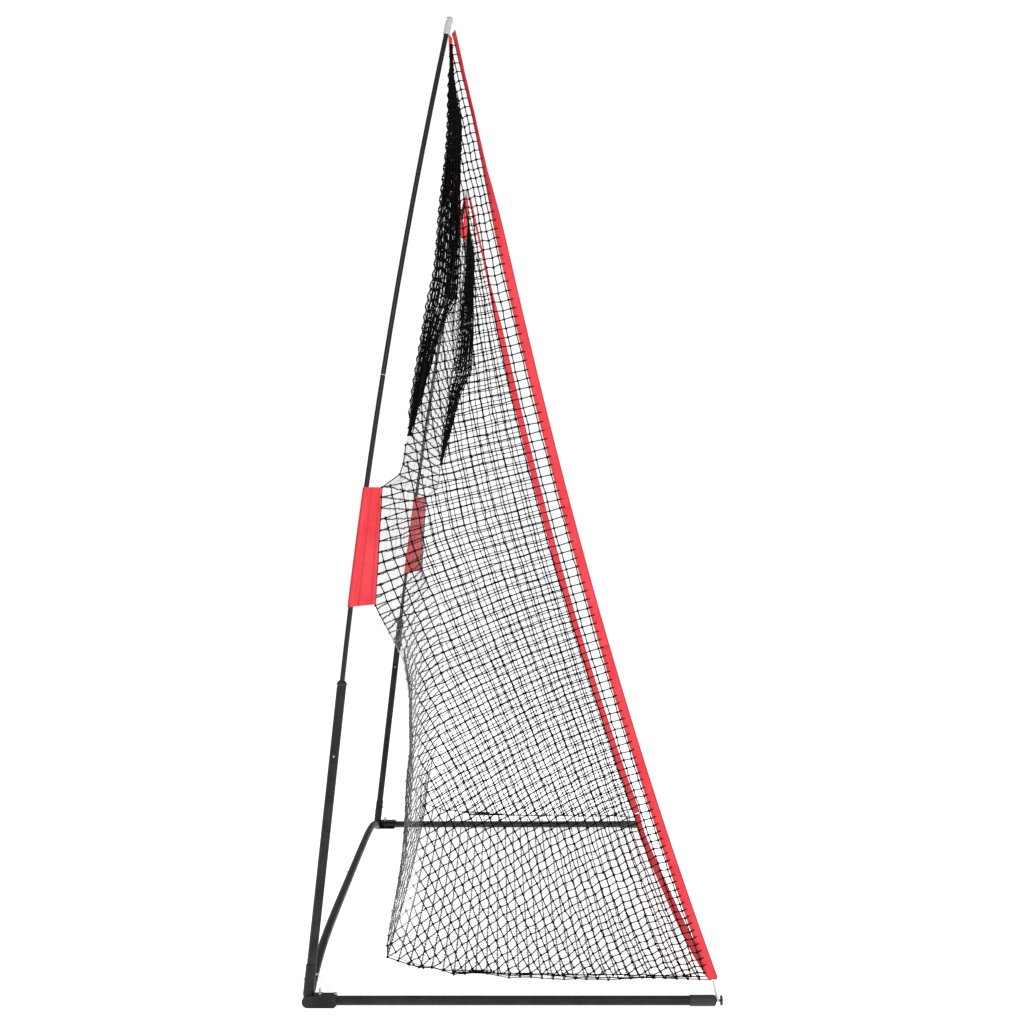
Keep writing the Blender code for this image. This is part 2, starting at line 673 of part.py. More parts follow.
def build_side_nets(mat, body):
    """Side panels of the bag, kept behind the mouth's edge."""
    back = BAG_Y - PANEL_GAP
    high = side_tape_point(1, 0.03)
    low = side_tape_point(1, 0.97)
    clear = TAPE_WIDTH + NET_CLEARANCE
    outline = [(low.y + clear, BAG_FRONT_Z + 0.020), (back, BAG_REAR_Z + PANEL_GAP),
               (back, BAG_WAIST_Z), (high.y + clear, high.z - TAPE_WIDTH),
               (high.y + clear / 2, high.z - TAPE_WIDTH)]
    for word, side in SIDES.items():
        points = [Vector((side * SIDE_NET_X, y, z)) for y, z in outline]
        finish(f"net_side_{word}", prism(points, Vector((side * SHEET, 0, 0))), mat, body)


def build_back_nets(mat, body):
    edge = SIDE_NET_X - PANEL_GAP
    thick = Vector((0, SHEET, 0))
    top_y = TIP_Y + 2 * TAPE
    for word, side in SIDES.items():
        corners = [(FIT, BAG_WAIST_Z + FIT), (edge, BAG_WAIST_Z + FIT),
                   (edge, top_edge_z(edge)), (FIT, top_edge_z(0))]
        run = (top_y - BAG_Y) / (top_edge_z(edge) - BAG_WAIST_Z)
        points = [Vector((side * x, BAG_Y + run * (z - BAG_WAIST_Z), z)) for x, z in corners]
        finish(f"net_back_upper_{word}", prism(points, thick), mat, body)
    low = BAG_REAR_Z - SHEET
    points = [Vector((x, BAG_Y, z)) for x, z in ((-edge, low), (edge, low),
                                                 (edge, BAG_WAIST_Z), (-edge, BAG_WAIST_Z))]
    finish("net_back_lower", prism(points, thick), mat, body)


def build_floor_net(mat, body):
    edge = SIDE_NET_X - PANEL_GAP
    rear = BAG_Y - PANEL_GAP
    front = FRONT_CORNER_Y + TAPE_WIDTH + BOTTOM_BOW
    points = [Vector((x, y, z)) for x, y, z in (
        (-edge, front, BAG_FRONT_Z), (edge, front, BAG_FRONT_Z),
        (edge, rear, BAG_REAR_Z), (-edge, rear, BAG_REAR_Z))]
    finish("net_floor", prism(points, Vector((0, 0, -SHEET))), mat, body)


# ---- assembly ----
def make_materials():
    return {
        "steel": make_material("steel_tube", (0.020, 0.021, 0.022), 0.42, 0.25),
        "bright": make_material("bright_steel", (0.55, 0.56, 0.57), 0.30, 1.0),
        "plastic": make_material("black_plastic", (0.016, 0.016, 0.017), 0.50),
        "pole": make_material("pole_fibreglass", (0.012, 0.012, 0.013), 0.35),
        "tip": make_material("grey_plastic", (0.48, 0.49, 0.50), 0.50),
        "webbing": make_material("grey_webbing", (0.60, 0.61, 0.62), 0.85),
        "tape": make_material("red_tape", (0.78, 0.050, 0.070), 0.80),
        "net": make_material("black_net", (0.012, 0.012, 0.012), 0.80),
    }


def make_bodies():
    bodies = {"base": make_body("base", Vector())}
    for word, side in SIDES.items():
        bodies[f"arm_{word}"] = make_body(f"arm_{word}", Vector((side * HALF_WIDTH, PIVOT_Y, 0)))
        bodies[f"pole_{word}"] = make_body(f"pole_{word}", upright_point(side, TUBE_TOP))
        bodies[f"lock_pin_{word}_body"] = make_body(f"lock_pin_{word}_body",
                                                    Vector((side * HALF_WIDTH, LOCK_Y, 0)))
        bodies[f"upright_button_{word}"] = make_body(f"upright_button_{word}_body",
                                                     upright_point(side, BUTTON_Z))
    bodies["bar_button"] = make_body("bar_button_body", bar_point(BAR_BUTTON_X))
    return bodies


def main():
    clear_scene()
    mats = make_materials()
    bodies = make_bodies()
    base = bodies["base"]
    for word, side in SIDES.items():
        build_bracket(f"corner_bracket_{word}", side, mats["steel"], base)
        build_upright(side, word, mats, base)
        build_hinge_hardware(side, word, mats, base)
        build_wire(side, word, mats, base)
        build_lock_pin(side, word, mats["plastic"], bodies[f"lock_pin_{word}_body"])
        build_arm(side, word, mats, bodies[f"arm_{word}"])
        build_pole(side, word, mats, bodies[f"pole_{word}"])
    build_rear_bar(mats, base)
    build_buttons(bodies, mats["bright"])
    build_side_tapes(mats["tape"], base)
    build_top_tape(mats["tape"], base)
    build_bottom_tape(mats["tape"], base)
    build_side_nets(mats["net"], base)
    build_back_nets(mats["net"], base)
    build_floor_net(mats["net"], base)


main()
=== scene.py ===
"""Pitching target net: the cloth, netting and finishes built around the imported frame.

Laid out as an add-on with one operator for each group of pieces and one for the stage.
Metres, +Z up, the mouth of the net faces -Y and the left side is -X.
"""

import math

import bpy
import numpy as np
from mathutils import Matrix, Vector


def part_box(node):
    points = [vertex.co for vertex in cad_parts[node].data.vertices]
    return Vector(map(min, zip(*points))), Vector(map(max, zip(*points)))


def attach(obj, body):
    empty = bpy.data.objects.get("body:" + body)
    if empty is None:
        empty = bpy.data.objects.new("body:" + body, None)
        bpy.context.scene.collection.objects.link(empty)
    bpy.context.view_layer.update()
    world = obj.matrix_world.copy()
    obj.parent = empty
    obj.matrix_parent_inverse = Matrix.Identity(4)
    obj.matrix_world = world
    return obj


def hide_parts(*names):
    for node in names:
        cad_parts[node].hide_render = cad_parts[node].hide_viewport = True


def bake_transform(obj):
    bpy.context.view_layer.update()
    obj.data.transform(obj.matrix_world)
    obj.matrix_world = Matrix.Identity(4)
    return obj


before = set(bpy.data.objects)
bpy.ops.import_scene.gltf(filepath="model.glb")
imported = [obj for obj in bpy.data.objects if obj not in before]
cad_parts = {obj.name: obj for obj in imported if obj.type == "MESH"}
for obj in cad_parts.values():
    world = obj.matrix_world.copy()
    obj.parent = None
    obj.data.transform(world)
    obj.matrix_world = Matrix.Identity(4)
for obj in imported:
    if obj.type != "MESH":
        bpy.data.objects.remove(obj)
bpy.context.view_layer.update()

bl_info = {
    "name": "Pitching target net",
    "version": (1, 0, 0),
    "blender": (4, 5, 0),
    "location": "View3D > Sidebar > Target Net",
    "description": "Builds the netting, tapes, sleeves and finishes of a pitching target net",
    "category": "Object",
}

SIDES = {"left": -1, "right": 1}

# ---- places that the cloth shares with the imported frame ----
HALF_WIDTH = 1.020
HEIGHT = 2.180
BRACKET_HEIGHT = 0.0258
BAR_Y = 0.4461
LEAN_FORWARD = 0.112
LEAN_OUT = 0.045
TUBE_TOP = 0.703
TIP_X = 0.962
TIP_Y = 0.138
TIP_CAP_R = 0.0076
TOP_CORNER_Z = 2.149
TOP_SAG = 0.275
SIDE_BOW = 0.190
SIDE_INSET_TOP = 0.068
SIDE_INSET_BOTTOM = 0.018
FRONT_CORNER = (-0.441, 0.055)
BOTTOM_BOW = 0.016
TAPE_END_GAP = 0.010
SLEEVE_LOW = 0.875
SLEEVE_HIGH = 1.134
SLEEVE_REACH_LOW = 0.061
SLEEVE_REACH_HIGH = 0.042
SLEEVE_R = 0.0076           # cloth round the pole, outside
SLEEVE_WEB_HALF = 0.0016    # half the thickness of the sleeve's flat web
PATH_STEP = 0.012           # between the points of a tape or seam
EDGE_POINTS = 900           # along the mouth's side edge
NET_SPLIT_Z = 0.780         # height at which the net and side tapes are split into an upper and a lower piece


def smooth(t):
    t = np.clip(t, 0.0, 1.0)
    return t * t * (3 - 2 * t)


def unit(v):
    v = np.asarray(v, float)
    return v / np.maximum(np.linalg.norm(v, axis=-1, keepdims=True), 1e-12)


# ---- lines that the cloth follows ----
def pole_point(side, z):
    """A point on the pole's centreline at one height."""
    rise = z - BRACKET_HEIGHT
    x = HALF_WIDTH + LEAN_OUT * rise
    y = BAR_Y - LEAN_FORWARD * rise
    full = HEIGHT - BRACKET_HEIGHT
    share = (max(z - TUBE_TOP, 0.0) / (HEIGHT - TUBE_TOP)) ** 2
    x += (TIP_X - HALF_WIDTH - LEAN_OUT * full) * share
    y += (TIP_Y - BAR_Y + LEAN_FORWARD * full) * share
    return np.array((side * x, y, z))


def side_edge(side, t):
    """The mouth's side edge, from the top corner at 0 to the bottom corner at 1."""
    top = np.array((HALF_WIDTH - SIDE_INSET_TOP, TIP_Y - TIP_CAP_R, TOP_CORNER_Z))
    low = np.array((HALF_WIDTH - SIDE_INSET_BOTTOM, *FRONT_CORNER))
    t = np.atleast_1d(np.asarray(t, float))[:, None]
    points = top * (1 - t) + low * t
    points[:, 1:2] += SIDE_BOW * t ** 1.3 * (1 - t)
    points[:, 0] *= side
    return points


def top_edge_z(x):
    half = HALF_WIDTH - SIDE_INSET_TOP
    return TOP_CORNER_Z - TOP_SAG * (1 - (x / half) ** 2)


def spaced(points, step):
    """The line again, with points a near-even step apart."""
    run = np.linalg.norm(np.diff(points, axis=0), axis=1)
    along = np.concatenate([[0.0], np.cumsum(run)])
    at = np.linspace(0, along[-1], max(2, int(round(along[-1] / step)) + 1))
    return np.stack([np.interp(at, along, points[:, k]) for k in range(3)], axis=1)


def tangents(points):
    return unit(np.gradient(points, axis=0))


# ---- meshes ----
def plain_mesh(name, points, faces=(), edges=(), uvs=None, marks=None, ups=None):
    """A mesh object at the origin, with its corner UVs and its point attributes."""
    mesh = bpy.data.meshes.new(name)
    mesh.from_pydata([tuple(p) for p in points], [tuple(e) for e in edges],
                     [tuple(f) for f in faces])
    if uvs is not None:
        layer = mesh.uv_layers.new(name="UVMap")
        layer.data.foreach_set("uv", np.asarray(uvs, np.float32).ravel())
    for label, values in (marks or {}).items():
        attribute = mesh.attributes.new(label, "BOOLEAN", "POINT")
        attribute.data.foreach_set("value", np.asarray(values, bool))
    if ups is not None:
        attribute = mesh.attributes.new("up", "FLOAT_VECTOR", "POINT")
        attribute.data.foreach_set("vector", np.asarray(ups, np.float32).ravel())
    obj = bpy.data.objects.new(name, mesh)
    bpy.context.scene.collection.objects.link(obj)
    return obj


def loft(rings, closed_ends=True):
    """Skin rings of equal length into one shell; gives points, faces and corner UVs."""
    rings = np.asarray(rings, float)
    count, size = rings.shape[:2]
    around = np.linalg.norm(np.roll(rings, -1, axis=1) - rings, axis=2).mean(0)
    u = np.concatenate([[0.0], np.cumsum(around)])
    middle = rings.mean(1)
    run = np.linalg.norm(np.diff(middle, axis=0), axis=1)
    v = np.concatenate([[0.0], np.cumsum(run)])
    faces, uvs = [], []
    for r in range(count - 1):
        for k in range(size):
            j = (k + 1) % size
            faces.append((r * size + k, r * size + j, (r + 1) * size + j, (r + 1) * size + k))
            uvs += [(u[k], v[r]), (u[k + 1], v[r]), (u[k + 1], v[r + 1]), (u[k], v[r + 1])]
    if closed_ends:
        for r, order in ((0, range(size - 1, -1, -1)), (count - 1, range(size))):
            faces.append([r * size + k for k in order])
            uvs += [(u[k], v[r]) for k in order]
    return rings.reshape(-1, 3), faces, uvs


def faces_out(obj):
    """Point every face of a closed shell outwards."""
    mesh = obj.data
    volume = 0.0
    for face in mesh.polygons:
        volume += face.center.dot(face.normal) * face.area
    if volume < 0:
        mesh.flip_normals()
    return obj


# ---- node trees that repeat a shape along lines ----
def new_tree(name, sockets):
    tree = bpy.data.node_groups.new(name, "GeometryNodeTree")
    face = tree.interface
    face.new_socket("Geometry", in_out="INPUT", socket_type="NodeSocketGeometry")
    for label, kind, value in sockets:
        socket = face.new_socket(label, in_out="INPUT", socket_type=kind)
        if value is not None:
            socket.default_value = value
    face.new_socket("Geometry", in_out="OUTPUT", socket_type="NodeSocketGeometry")
    source = tree.nodes.new("NodeGroupInput")
    sink = tree.nodes.new("NodeGroupOutput")
    return tree, source, sink


def add(tree, kind, values=None, **settings):
    node = tree.nodes.new(kind)
    for key, value in settings.items():
        setattr(node, key, value)
    for key, value in (values or {}).items():
        node.inputs[key].default_value = value
    return node


def wire(tree, *pairs):
    for out, into in pairs:
        tree.links.new(out, into)


def twine_tree():
    """Twine tubes along chains of edges, with a knot at each marked point."""
    tree, source, sink = new_tree("Knotted twine", [
        ("Twine Diameter", "NodeSocketFloat", 0.0018),
        ("Twine Sides", "NodeSocketInt", 5),
        ("Knot Radius", "NodeSocketFloat", 0.0023),
        ("Knot Detail", "NodeSocketInt", 1),
        ("Seed", "NodeSocketInt", 7),
        ("Twine", "NodeSocketMaterial", None)])
    half = add(tree, "ShaderNodeMath", {1: 0.5}, operation="MULTIPLY")
    ring = add(tree, "GeometryNodeCurvePrimitiveCircle")
    line = add(tree, "GeometryNodeMeshToCurve")
    lay = add(tree, "GeometryNodeInputNamedAttribute", {"Name": "up"}, data_type="FLOAT_VECTOR")
    turned = add(tree, "GeometryNodeSetCurveNormal", mode="FREE")
    skin = add(tree, "GeometryNodeCurveToMesh", {"Fill Caps": True})
    knot = add(tree, "GeometryNodeMeshIcoSphere")
    marked = add(tree, "GeometryNodeInputNamedAttribute", {"Name": "knot"}, data_type="BOOLEAN")
    turn = add(tree, "FunctionNodeRandomValue", {"Max": (6.28, 6.28, 6.28)},
               data_type="FLOAT_VECTOR")
    size = add(tree, "FunctionNodeRandomValue", data_type="FLOAT_VECTOR")
    size.inputs["Min"].default_value = (0.85, 0.85, 0.72)
    size.inputs["Max"].default_value = (1.15, 1.10, 0.92)
    put = add(tree, "GeometryNodeInstanceOnPoints")
    real = add(tree, "GeometryNodeRealizeInstances")
    both = add(tree, "GeometryNodeJoinGeometry")
    paint = add(tree, "GeometryNodeSetMaterial")
    gloss = add(tree, "GeometryNodeSetShadeSmooth")
    wire(tree,
         (source.outputs["Twine Diameter"], half.inputs[0]),
         (half.outputs[0], ring.inputs["Radius"]),
         (source.outputs["Twine Sides"], ring.inputs["Resolution"]),
         (source.outputs["Geometry"], line.inputs["Mesh"]),
         (line.outputs["Curve"], turned.inputs["Curve"]),
         (lay.outputs["Attribute"], turned.inputs["Normal"]),
         (turned.outputs["Curve"], skin.inputs["Curve"]),
         (ring.outputs["Curve"], skin.inputs["Profile Curve"]),
         (source.outputs["Knot Radius"], knot.inputs["Radius"]),
         (source.outputs["Knot Detail"], knot.inputs["Subdivisions"]),
         (source.outputs["Seed"], turn.inputs["Seed"]),
         (source.outputs["Seed"], size.inputs["Seed"]),
         (source.outputs["Geometry"], put.inputs["Points"]),
         (marked.outputs["Attribute"], put.inputs["Selection"]),
         (knot.outputs["Mesh"], put.inputs["Instance"]),
         (turn.outputs["Value"], put.inputs["Rotation"]),
         (size.outputs["Value"], put.inputs["Scale"]),
         (put.outputs["Instances"], both.inputs["Geometry"]),
         (skin.outputs["Mesh"], both.inputs["Geometry"]),
         (both.outputs["Geometry"], real.inputs["Geometry"]),
         (real.outputs["Geometry"], gloss.inputs["Geometry"]),
         (gloss.outputs["Geometry"], paint.inputs["Geometry"]),
         (source.outputs["Twine"], paint.inputs["Material"]),
         (paint.outputs["Geometry"], sink.inputs["Geometry"]))
    return tree


def stitch_tree():
    """Thread stitches set at an even pitch along the loose edges of a sewn piece."""
    tree, source, sink = new_tree("Stitched seam", [
        ("Pitch", "NodeSocketFloat", 0.006),
        ("Stitch Length", "NodeSocketFloat", 0.0040),
        ("Thread Width", "NodeSocketFloat", 0.0009),
        ("Stitch Height", "NodeSocketFloat", 0.0020),
        ("Thread", "NodeSocketMaterial", None)])
    seam = add(tree, "GeometryNodeInputNamedAttribute", {"Name": "seam"}, data_type="BOOLEAN")
    part = add(tree, "GeometryNodeSeparateGeometry")
    line = add(tree, "GeometryNodeMeshToCurve")
    even = add(tree, "GeometryNodeResampleCurve", mode="LENGTH")
    way = add(tree, "GeometryNodeInputTangent")
    lift = add(tree, "GeometryNodeInputNamedAttribute", {"Name": "up"}, data_type="FLOAT_VECTOR")
    aim = add(tree, "FunctionNodeAlignRotationToVector", axis="X")
    roll = add(tree, "FunctionNodeAlignRotationToVector", axis="Z", pivot_axis="X")
    bead = add(tree, "GeometryNodeMeshUVSphere", {"Segments": 6, "Rings": 4, "Radius": 0.5})
    size = add(tree, "ShaderNodeCombineXYZ")
    put = add(tree, "GeometryNodeInstanceOnPoints")
    real = add(tree, "GeometryNodeRealizeInstances")
    gloss = add(tree, "GeometryNodeSetShadeSmooth")
    paint = add(tree, "GeometryNodeSetMaterial")
    both = add(tree, "GeometryNodeJoinGeometry")
    wire(tree,
         (source.outputs["Geometry"], part.inputs["Geometry"]),
         (seam.outputs["Attribute"], part.inputs["Selection"]),
         (part.outputs["Selection"], line.inputs["Mesh"]),
         (line.outputs["Curve"], even.inputs["Curve"]),
         (source.outputs["Pitch"], even.inputs["Length"]),
         (way.outputs["Tangent"], aim.inputs["Vector"]),
         (aim.outputs["Rotation"], roll.inputs["Rotation"]),
         (lift.outputs["Attribute"], roll.inputs["Vector"]),
         (source.outputs["Stitch Length"], size.inputs["X"]),
         (source.outputs["Thread Width"], size.inputs["Y"]),
         (source.outputs["Stitch Height"], size.inputs["Z"]),
         (even.outputs["Curve"], put.inputs["Points"]),
         (bead.outputs["Mesh"], put.inputs["Instance"]),
         (roll.outputs["Rotation"], put.inputs["Rotation"]),
         (size.outputs["Vector"], put.inputs["Scale"]),
         (put.outputs["Instances"], real.inputs["Geometry"]),
         (real.outputs["Geometry"], gloss.inputs["Geometry"]),
         (gloss.outputs["Geometry"], paint.inputs["Geometry"]),
         (source.outputs["Thread"], paint.inputs["Material"]),
         (paint.outputs["Geometry"], both.inputs["Geometry"]),
         (part.outputs["Inverted"], both.inputs["Geometry"]),
         (both.outputs["Geometry"], sink.inputs["Geometry"]))
    return tree


def tree_named(name, maker):
    return bpy.data.node_groups.get(name) or maker()


def grown(obj, tree, values):
    """Run a node tree on an object and keep what it makes as a plain mesh."""
    mod = obj.modifiers.new(tree.name, "NODES")
    mod.node_group = tree
    for item in tree.interface.items_tree:
        if item.item_type == "SOCKET" and item.in_out == "INPUT" and item.name in values:
            mod[item.identifier] = values[item.name]
    bpy.context.view_layer.update()
    graph = bpy.context.evaluated_depsgraph_get()
    mesh = bpy.data.meshes.new_from_object(obj.evaluated_get(graph))
    obj.modifiers.remove(mod)
    old = obj.data
    obj.data = mesh
    mesh.name = obj.name
    bpy.data.meshes.remove(old)
    for label in ("knot", "seam", "up"):
        attribute = obj.data.attributes.get(label)
        if attribute:
            obj.data.attributes.remove(attribute)
    return obj


# ---- shader groups shared by the finishes ----
def new_group(name, inputs, outputs):
    group = bpy.data.node_groups.new(name, "ShaderNodeTree")
    for label, value in inputs:
        socket = group.interface.new_socket(label, in_out="INPUT",
                                            socket_type="NodeSocketFloat")
        socket.default_value = value
    for label in outputs:
        group.interface.new_socket(label, in_out="OUTPUT", socket_type="NodeSocketFloat")
    return group, group.nodes.new("NodeGroupInput"), group.nodes.new("NodeGroupOutput")


def grain_group():
    """Fine and coarse unevenness of a surface, as a height and a mask."""
    group, source, sink = new_group("Surface Grain", [("Fine Scale", 900.0),
                                                      ("Coarse Scale", 30.0)],
                                    ["Height", "Mask"])
    place = add(group, "ShaderNodeTexCoord")
    fine = add(group, "ShaderNodeTexNoise", {"Detail": 3.0})
    coarse = add(group, "ShaderNodeTexNoise", {"Detail": 4.0, "Roughness": 0.6})
    spread = add(group, "ShaderNodeMapRange", {"From Min": 0.35, "From Max": 0.65})
    wire(group,
         (place.outputs["Object"], fine.inputs["Vector"]),
         (place.outputs["Object"], coarse.inputs["Vector"]),
         (source.outputs["Fine Scale"], fine.inputs["Scale"]),
         (source.outputs["Coarse Scale"], coarse.inputs["Scale"]),
         (coarse.outputs["Fac"], spread.inputs["Value"]),
         (fine.outputs["Fac"], sink.inputs["Height"]),
         (spread.outputs["Result"], sink.inputs["Mask"]))
    return group


def wear_group():
    """Sparse scuffs, as a mask."""
    group, source, sink = new_group("Scuffs", [("Scale", 60.0), ("Amount", 0.3)], ["Mask"])
    place = add(group, "ShaderNodeTexCoord")
    spots = add(group, "ShaderNodeTexNoise", {"Detail": 8.0, "Roughness": 0.75})
    low = add(group, "ShaderNodeMath", {0: 0.80}, operation="SUBTRACT")
    high = add(group, "ShaderNodeMath", {1: 0.08}, operation="ADD")
    spread = add(group, "ShaderNodeMapRange")
    wire(group,
         (place.outputs["Object"], spots.inputs["Vector"]),
         (source.outputs["Scale"], spots.inputs["Scale"]),
         (source.outputs["Amount"], low.inputs[1]),
         (low.outputs[0], high.inputs[0]),
         (spots.outputs["Fac"], spread.inputs["Value"]),
         (low.outputs[0], spread.inputs["From Min"]),
         (high.outputs[0], spread.inputs["From Max"]),
         (spread.outputs["Result"], sink.inputs["Mask"]))
    return group


def weave_group():
    """A plain weave that follows the piece's own UV map, as a height and a mask."""
    group, source, sink = new_group("Plain Weave", [("Across Pitch", 0.0009),
                                                    ("Along Pitch", 0.0014)],
                                    ["Height", "Mask"])
    place = add(group, "ShaderNodeUVMap")
    parts = add(group, "ShaderNodeSeparateXYZ")
    wire(group, (place.outputs["UV"], parts.inputs["Vector"]))
    waves = []
    for axis, pitch in (("X", "Across Pitch"), ("Y", "Along Pitch")):
        share = add(group, "ShaderNodeMath", operation="DIVIDE")
        turn = add(group, "ShaderNodeMath", {1: math.pi}, operation="MULTIPLY")
        wave = add(group, "ShaderNodeMath", operation="SINE")
        wire(group,
             (parts.outputs[axis], share.inputs[0]),
             (source.outputs[pitch], share.inputs[1]),
             (share.outputs[0], turn.inputs[0]),
             (turn.outputs[0], wave.inputs[0]))
        waves.append(wave)
    product = add(group, "ShaderNodeMath", operation="MULTIPLY")
    height = add(group, "ShaderNodeMath", operation="ABSOLUTE")
    spread = add(group, "ShaderNodeMapRange", {"From Min": 0.0, "From Max": 0.5})
    wire(group,
         (waves[0].outputs[0], product.inputs[0]),
         (waves[1].outputs[0], product.inputs[1]),
         (product.outputs[0], height.inputs[0]),
         (height.outputs[0], spread.inputs["Value"]),
         (height.outputs[0], sink.inputs["Height"]),
         (spread.outputs["Result"], sink.inputs["Mask"]))
    return group


GROUPS = {"Surface Grain": grain_group, "Scuffs": wear_group, "Plain Weave": weave_group}


class Finish:
    """One material: a shader with its constants, and the groups that vary it."""

    def __init__(self, name, roughness, metallic=0.0, coat=0.0, sheen=0.0, gloss=0.5):
        self.material = bpy.data.materials.new(name)
        self.material.use_nodes = True
        self.tree = self.material.node_tree
        self.shader = self.tree.nodes["Principled BSDF"]
        self.shader.inputs["Roughness"].default_value = roughness
        self.shader.inputs["Metallic"].default_value = metallic
        self.shader.inputs["Coat Weight"].default_value = coat
        self.shader.inputs["Sheen Weight"].default_value = sheen
        self.shader.inputs["Specular IOR Level"].default_value = gloss
        self.colour = None

    def group(self, name, **values):
        node = self.tree.nodes.new("ShaderNodeGroup")
        node.node_tree = bpy.data.node_groups.get(name) or GROUPS[name]()
        for key, value in values.items():
            node.inputs[key.replace("_", " ")].default_value = value
        return node

    def tint(self, mask, base, other):
        """Mix two colours, or the colour so far and another, by a mask."""
        mix = add(self.tree, "ShaderNodeMix", data_type="RGBA")
        if self.colour is None:
            mix.inputs["A"].default_value = (*base, 1.0)
        else:
            self.tree.links.new(self.colour, mix.inputs["A"])
        mix.inputs["B"].default_value = (*other, 1.0)
        wire(self.tree, (mask, mix.inputs["Factor"]),
             (mix.outputs["Result"], self.shader.inputs["Base Color"]))
        self.colour = mix.outputs["Result"]

    def rough(self, mask, low, high):
        spread = add(self.tree, "ShaderNodeMapRange", {"To Min": low, "To Max": high})
        wire(self.tree, (mask, spread.inputs["Value"]),
             (spread.outputs["Result"], self.shader.inputs["Roughness"]))

    def bump(self, height, depth, strength=1.0, under=None):
        node = add(self.tree, "ShaderNodeBump", {"Strength": strength, "Distance": depth})
        wire(self.tree, (height, node.inputs["Height"]),
             (node.outputs["Normal"], self.shader.inputs["Normal"]))
        if under is not None:
            self.tree.links.new(under.outputs["Normal"], node.inputs["Normal"])
        return node


def lighter(colour, share):
    return tuple(c + (1 - c) * share for c in colour)


def darker(colour, share):
    return tuple(c * (1 - share) for c in colour)


def powder_coat(name, colour):
    made = Finish(name, 0.42, gloss=0.18)
    grain = made.group("Surface Grain", Fine_Scale=1400.0, Coarse_Scale=25.0)
    scuff = made.group("Scuffs", Scale=70.0, Amount=0.12)
    made.tint(grain.outputs["Mask"], colour, lighter(colour, 0.015))
    made.tint(scuff.outputs["Mask"], colour, lighter(colour, 0.06))
    made.rough(grain.outputs["Mask"], 0.36, 0.48)
    made.bump(grain.outputs["Height"], 0.00008, 0.5)
    return made.material


def moulded_plastic(name, colour, low=0.42, high=0.56):
    made = Finish(name, low)
    grain = made.group("Surface Grain", Fine_Scale=2600.0, Coarse_Scale=40.0)
    scuff = made.group("Scuffs", Scale=110.0, Amount=0.14)
    made.tint(grain.outputs["Mask"], colour, darker(colour, 0.12))
    made.tint(scuff.outputs["Mask"], colour, lighter(colour, 0.05))
    made.rough(grain.outputs["Mask"], low, high)
    made.bump(grain.outputs["Height"], 0.00005, 0.5)
    return made.material


def bare_steel(name, colour):
    made = Finish(name, 0.3, metallic=1.0)
    grain = made.group("Surface Grain", Fine_Scale=1800.0, Coarse_Scale=160.0)
    made.tint(grain.outputs["Mask"], colour, darker(colour, 0.22))
    made.rough(grain.outputs["Mask"], 0.24, 0.40)
    made.bump(grain.outputs["Height"], 0.00004, 0.4)
    return made.material


def drawn_fibreglass(name, colour):
    made = Finish(name, 0.3, coat=0.08, gloss=0.22)
    place = add(made.tree, "ShaderNodeTexCoord")
    stretch = add(made.tree, "ShaderNodeMapping")
    stretch.inputs["Scale"].default_value = (1.0, 1.0, 0.02)
    streak = add(made.tree, "ShaderNodeTexNoise", {"Scale": 1500.0, "Detail": 3.0})
    wire(made.tree, (place.outputs["Object"], stretch.inputs["Vector"]),
         (stretch.outputs["Vector"], streak.inputs["Vector"]))
    scuff = made.group("Scuffs", Scale=45.0, Amount=0.12)
    made.tint(streak.outputs["Fac"], colour, lighter(colour, 0.012))
    made.tint(scuff.outputs["Mask"], colour, lighter(colour, 0.05))
    made.rough(streak.outputs["Fac"], 0.25, 0.38)
    made.bump(streak.outputs["Fac"], 0.00003, 0.5)
    return made.material


def woven_cloth(name, colour, painted_edge_shade_pitch=0.0, across=0.0009, along=0.0014):
    """Woven tape or webbing; given a tape width, both long edges of the tape get painted shade,
    a darker strip of its colour.
    """
    made = Finish(name, 0.82, gloss=0.10)
    weave = made.group("Plain Weave", Across_Pitch=across, Along_Pitch=along)
    grain = made.group("Surface Grain", Fine_Scale=1200.0, Coarse_Scale=18.0)
    made.tint(weave.outputs["Mask"], darker(colour, 0.16), colour)
    made.tint(grain.outputs["Mask"], colour, lighter(colour, 0.02))
    if painted_edge_shade_pitch:
        # painted shade: darker along both long edges of the tape, where the netting's lashing
        # shades it
        place = add(made.tree, "ShaderNodeUVMap")
        parts = add(made.tree, "ShaderNodeSeparateXYZ")
        bounce = add(made.tree, "ShaderNodeMath", {1: painted_edge_shade_pitch / 2}, operation="PINGPONG")
        near = add(made.tree, "ShaderNodeMapRange", {"From Min": painted_edge_shade_pitch * 0.05,
                                                     "From Max": painted_edge_shade_pitch * 0.12,
                                                     "To Min": 0.55, "To Max": 0.0})
        wire(made.tree, (place.outputs["UV"], parts.inputs["Vector"]),
             (parts.outputs["X"], bounce.inputs[0]),
             (bounce.outputs[0], near.inputs["Value"]))
        made.tint(near.outputs["Result"], colour, darker(colour, 0.35))
    made.rough(weave.outputs["Mask"], 0.88, 0.72)
    fine = made.bump(grain.outputs["Height"], 0.0001, 0.4)
    made.bump(weave.outputs["Height"], 0.0002, 0.7, under=fine)
    return made.material


def twisted_thread(name, colour, strand=900.0):
    """Laid twine or thread; its strands wind round it."""
    made = Finish(name, 0.85, gloss=0.06)
    place = add(made.tree, "ShaderNodeTexCoord")
    wave = add(made.tree, "ShaderNodeTexWave", {"Scale": strand, "Distortion": 1.2,
                                                "Detail": 1.0}, bands_direction="DIAGONAL")
    grain = made.group("Surface Grain", Fine_Scale=2400.0, Coarse_Scale=9.0)
    wire(made.tree, (place.outputs["Object"], wave.inputs["Vector"]))
    made.tint(wave.outputs["Fac"], darker(colour, 0.25), colour)
    made.tint(grain.outputs["Mask"], colour, lighter(colour, 0.003))
    made.rough(wave.outputs["Fac"], 0.85, 0.70)
    fine = made.bump(grain.outputs["Height"], 0.0001, 0.5)
    made.bump(wave.outputs["Fac"], 0.0002, 0.6, under=fine)
    return made


